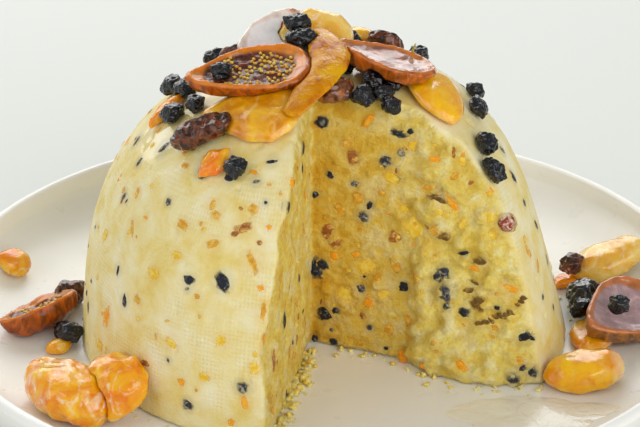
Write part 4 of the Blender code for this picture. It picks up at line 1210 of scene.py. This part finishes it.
def make_stem():
    """Short dry stem that stands up from the far rim of the right-hand fig."""
    tree = surface_tree(bpy.data.objects["half_fig_right"])
    foot = None
    for step in range(60):
        spot = Vector((STEM_ACROSS, STEM_START - STEM_STEP * step, 2.0 * STAND + DOME_HEIGHT + 20.0))
        foot = tree.ray_cast(spot, Vector((0.0, 0.0, -1.0)))[0]
        if foot is not None:
            break
    rings = []
    for i in range(9):
        share = i / 8.0
        middle = foot + Vector((0.9 * share * share, -0.4, -0.4 + STEM_LENGTH * share))
        radius = STEM_RADIUS - STEM_TAPER * share
        rings.append([middle + Vector(turned(radius, math.tau * k / STEM_SIDES, 0.0))
                      for k in range(STEM_SIDES)])
    tip = middle + Vector((0.0, 0.0, 0.15))
    stem = object_of("dry_stem", stacked_rings(rings, foot + Vector((0.0, -0.4, -0.5)), tip))
    dress(stem, "stem", "fig")


# ---------------------------------------------------------------- crumbs and syrup on the plate

def make_crumbs():
    shape = bmesh.new()
    spots = []
    for _ in range(LEFT_CRUMBS):
        point, way = face_spot("left", draws.uniform(6.0, 74.0), 0.5)
        away = abs(draws.gauss(0.0, 2.4)) + 0.1
        spots.append((point.x + way.x * away, point.y + way.y * away, 0.25 + 1.4 * draws.random() ** 3))
    for _ in range(RIGHT_CRUMBS):
        point, way = face_spot("right", draws.uniform(8.0, 86.0), 0.5)
        away = abs(draws.gauss(0.0, 2.6)) + 0.6
        spots.append((point.x + way.x * away, point.y + way.y * away, draws.uniform(0.3, 1.1)))
    for _ in range(ROUND_CRUMBS):
        turn = math.radians(draws.uniform(0.0, 360.0))
        radius = DOME_RADIUS + 1.0 + abs(draws.gauss(0.0, 2.6))
        spots.append(turned(radius, turn, draws.uniform(0.3, 0.9)))
    for x, y, size in spots:
        made = bmesh.ops.create_icosphere(shape, subdivisions=2, radius=1.0)["verts"]
        shift = random_shift()
        floor = plate_top(math.hypot(x, y))
        squash = draws.uniform(0.5, 0.9)
        for vert in made:
            fold = 1.0 + 0.8 * noise.noise(vert.co * 1.3 + shift) + 0.5 * noise.noise(vert.co * 3.1 - shift)
            vert.co = Vector((x + vert.co.x * size * fold * draws.uniform(0.95, 1.05),
                              y + vert.co.y * size * fold,
                              floor + size * squash * 0.8 + vert.co.z * size * fold * squash))
    dress(object_of("curd_crumbs", shape), "crumb", "cheese")


def make_pool():
    """Low pool of syrup with a rounded edge on the plate."""
    shape = bmesh.new()
    centre = shape.verts.new((*POOL_MIDDLE, plate_top(math.hypot(*POOL_MIDDLE)) + POOL_HEIGHT))
    inner = None
    for ring in range(1, POOL_RINGS + 1):
        share = math.sin(math.pi / 2.0 * ring / POOL_RINGS)
        loop = []
        for i in range(POOL_SIDES):
            way = Vector(turned(1.0, math.tau * i / POOL_SIDES, 0.0))
            wander = 1.0 + 0.30 * noise.noise(way * 1.1 + Vector((POOL_SEED, 0.0, 4.0)))
            wander += 0.10 * noise.noise(way * 3.2 + Vector((POOL_SEED, 0.0, 9.0)))
            x = POOL_MIDDLE[0] + way.x * POOL_SIZE[0] * share * wander
            y = POOL_MIDDLE[1] + way.y * POOL_SIZE[1] * share * wander
            rise = POOL_HEIGHT * (1.0 - share ** 3) + 0.04
            loop.append(shape.verts.new((x, y, plate_top(math.hypot(x, y)) + rise)))
        for i in range(POOL_SIDES):
            j = (i + 1) % POOL_SIDES
            shape.faces.new((inner[i], loop[i], loop[j], inner[j]) if inner else (centre, loop[i], loop[j]))
        inner = loop
    dress(object_of("syrup_pool", shape), "syrup", "cheese")


# ---------------------------------------------------------------- floor, light and camera

def look_at(piece, place, target):
    piece.location = place
    piece.rotation_euler = (target - place).to_track_quat("-Z", "Y").to_euler()


def make_surroundings():
    edge = FLOOR_REACH * METRES
    ground = bpy.data.meshes.new("floor")
    ground.from_pydata([(-edge, -edge, 0.0), (edge, -edge, 0.0), (edge, edge, 0.0), (-edge, edge, 0.0)], [],
                       [(0, 1, 2, 3)])
    floor = add_object("floor", ground)
    floor.location.z = -FLOOR_DROP * METRES
    floor.data.materials.append(materials["floor"])

    world = bpy.data.worlds.new("soft_room")
    world.use_nodes = True
    sky = world.node_tree.nodes["Background"]
    sky.inputs["Color"].default_value = SKY_COLOUR
    sky.inputs["Strength"].default_value = SKY_STRENGTH
    bpy.context.scene.world = world

    for name, (degrees, rise, far, width, tall, power, colour) in LAMPS.items():
        light = bpy.data.lights.new(name, "AREA")
        light.shape = "RECTANGLE"
        light.size = width
        light.size_y = tall
        light.energy = power
        light.color = colour
        heading, lift = math.radians(degrees), math.radians(rise)
        place = Vector(turned(math.cos(lift), heading, math.sin(lift))) * far
        look_at(add_object(name, light), place, LAMP_AIM)

    target = Vector(CAMERA_TARGET) * METRES
    pitch = math.radians(CAMERA_PITCH)
    lens = bpy.data.cameras.new("camera")
    lens.lens = CAMERA_LENS
    lens.sensor_width = CAMERA_SENSOR
    lens.clip_start = 0.02
    lens.clip_end = 20.0
    camera = add_object("camera", lens)
    away = Vector((0.0, -math.cos(pitch), math.sin(pitch))) * CAMERA_DISTANCE * METRES
    look_at(camera, target + away, target)
    bpy.context.scene.camera = camera
    bpy.context.scene.view_settings.view_transform = "Standard"


make_surroundings()
make_plate()
curd = make_cheese()
set_fruit(curd)
dress(curd, "cheese", "cheese", "cheese")
make_fruit()
make_stem()
make_crumbs()
make_pool()
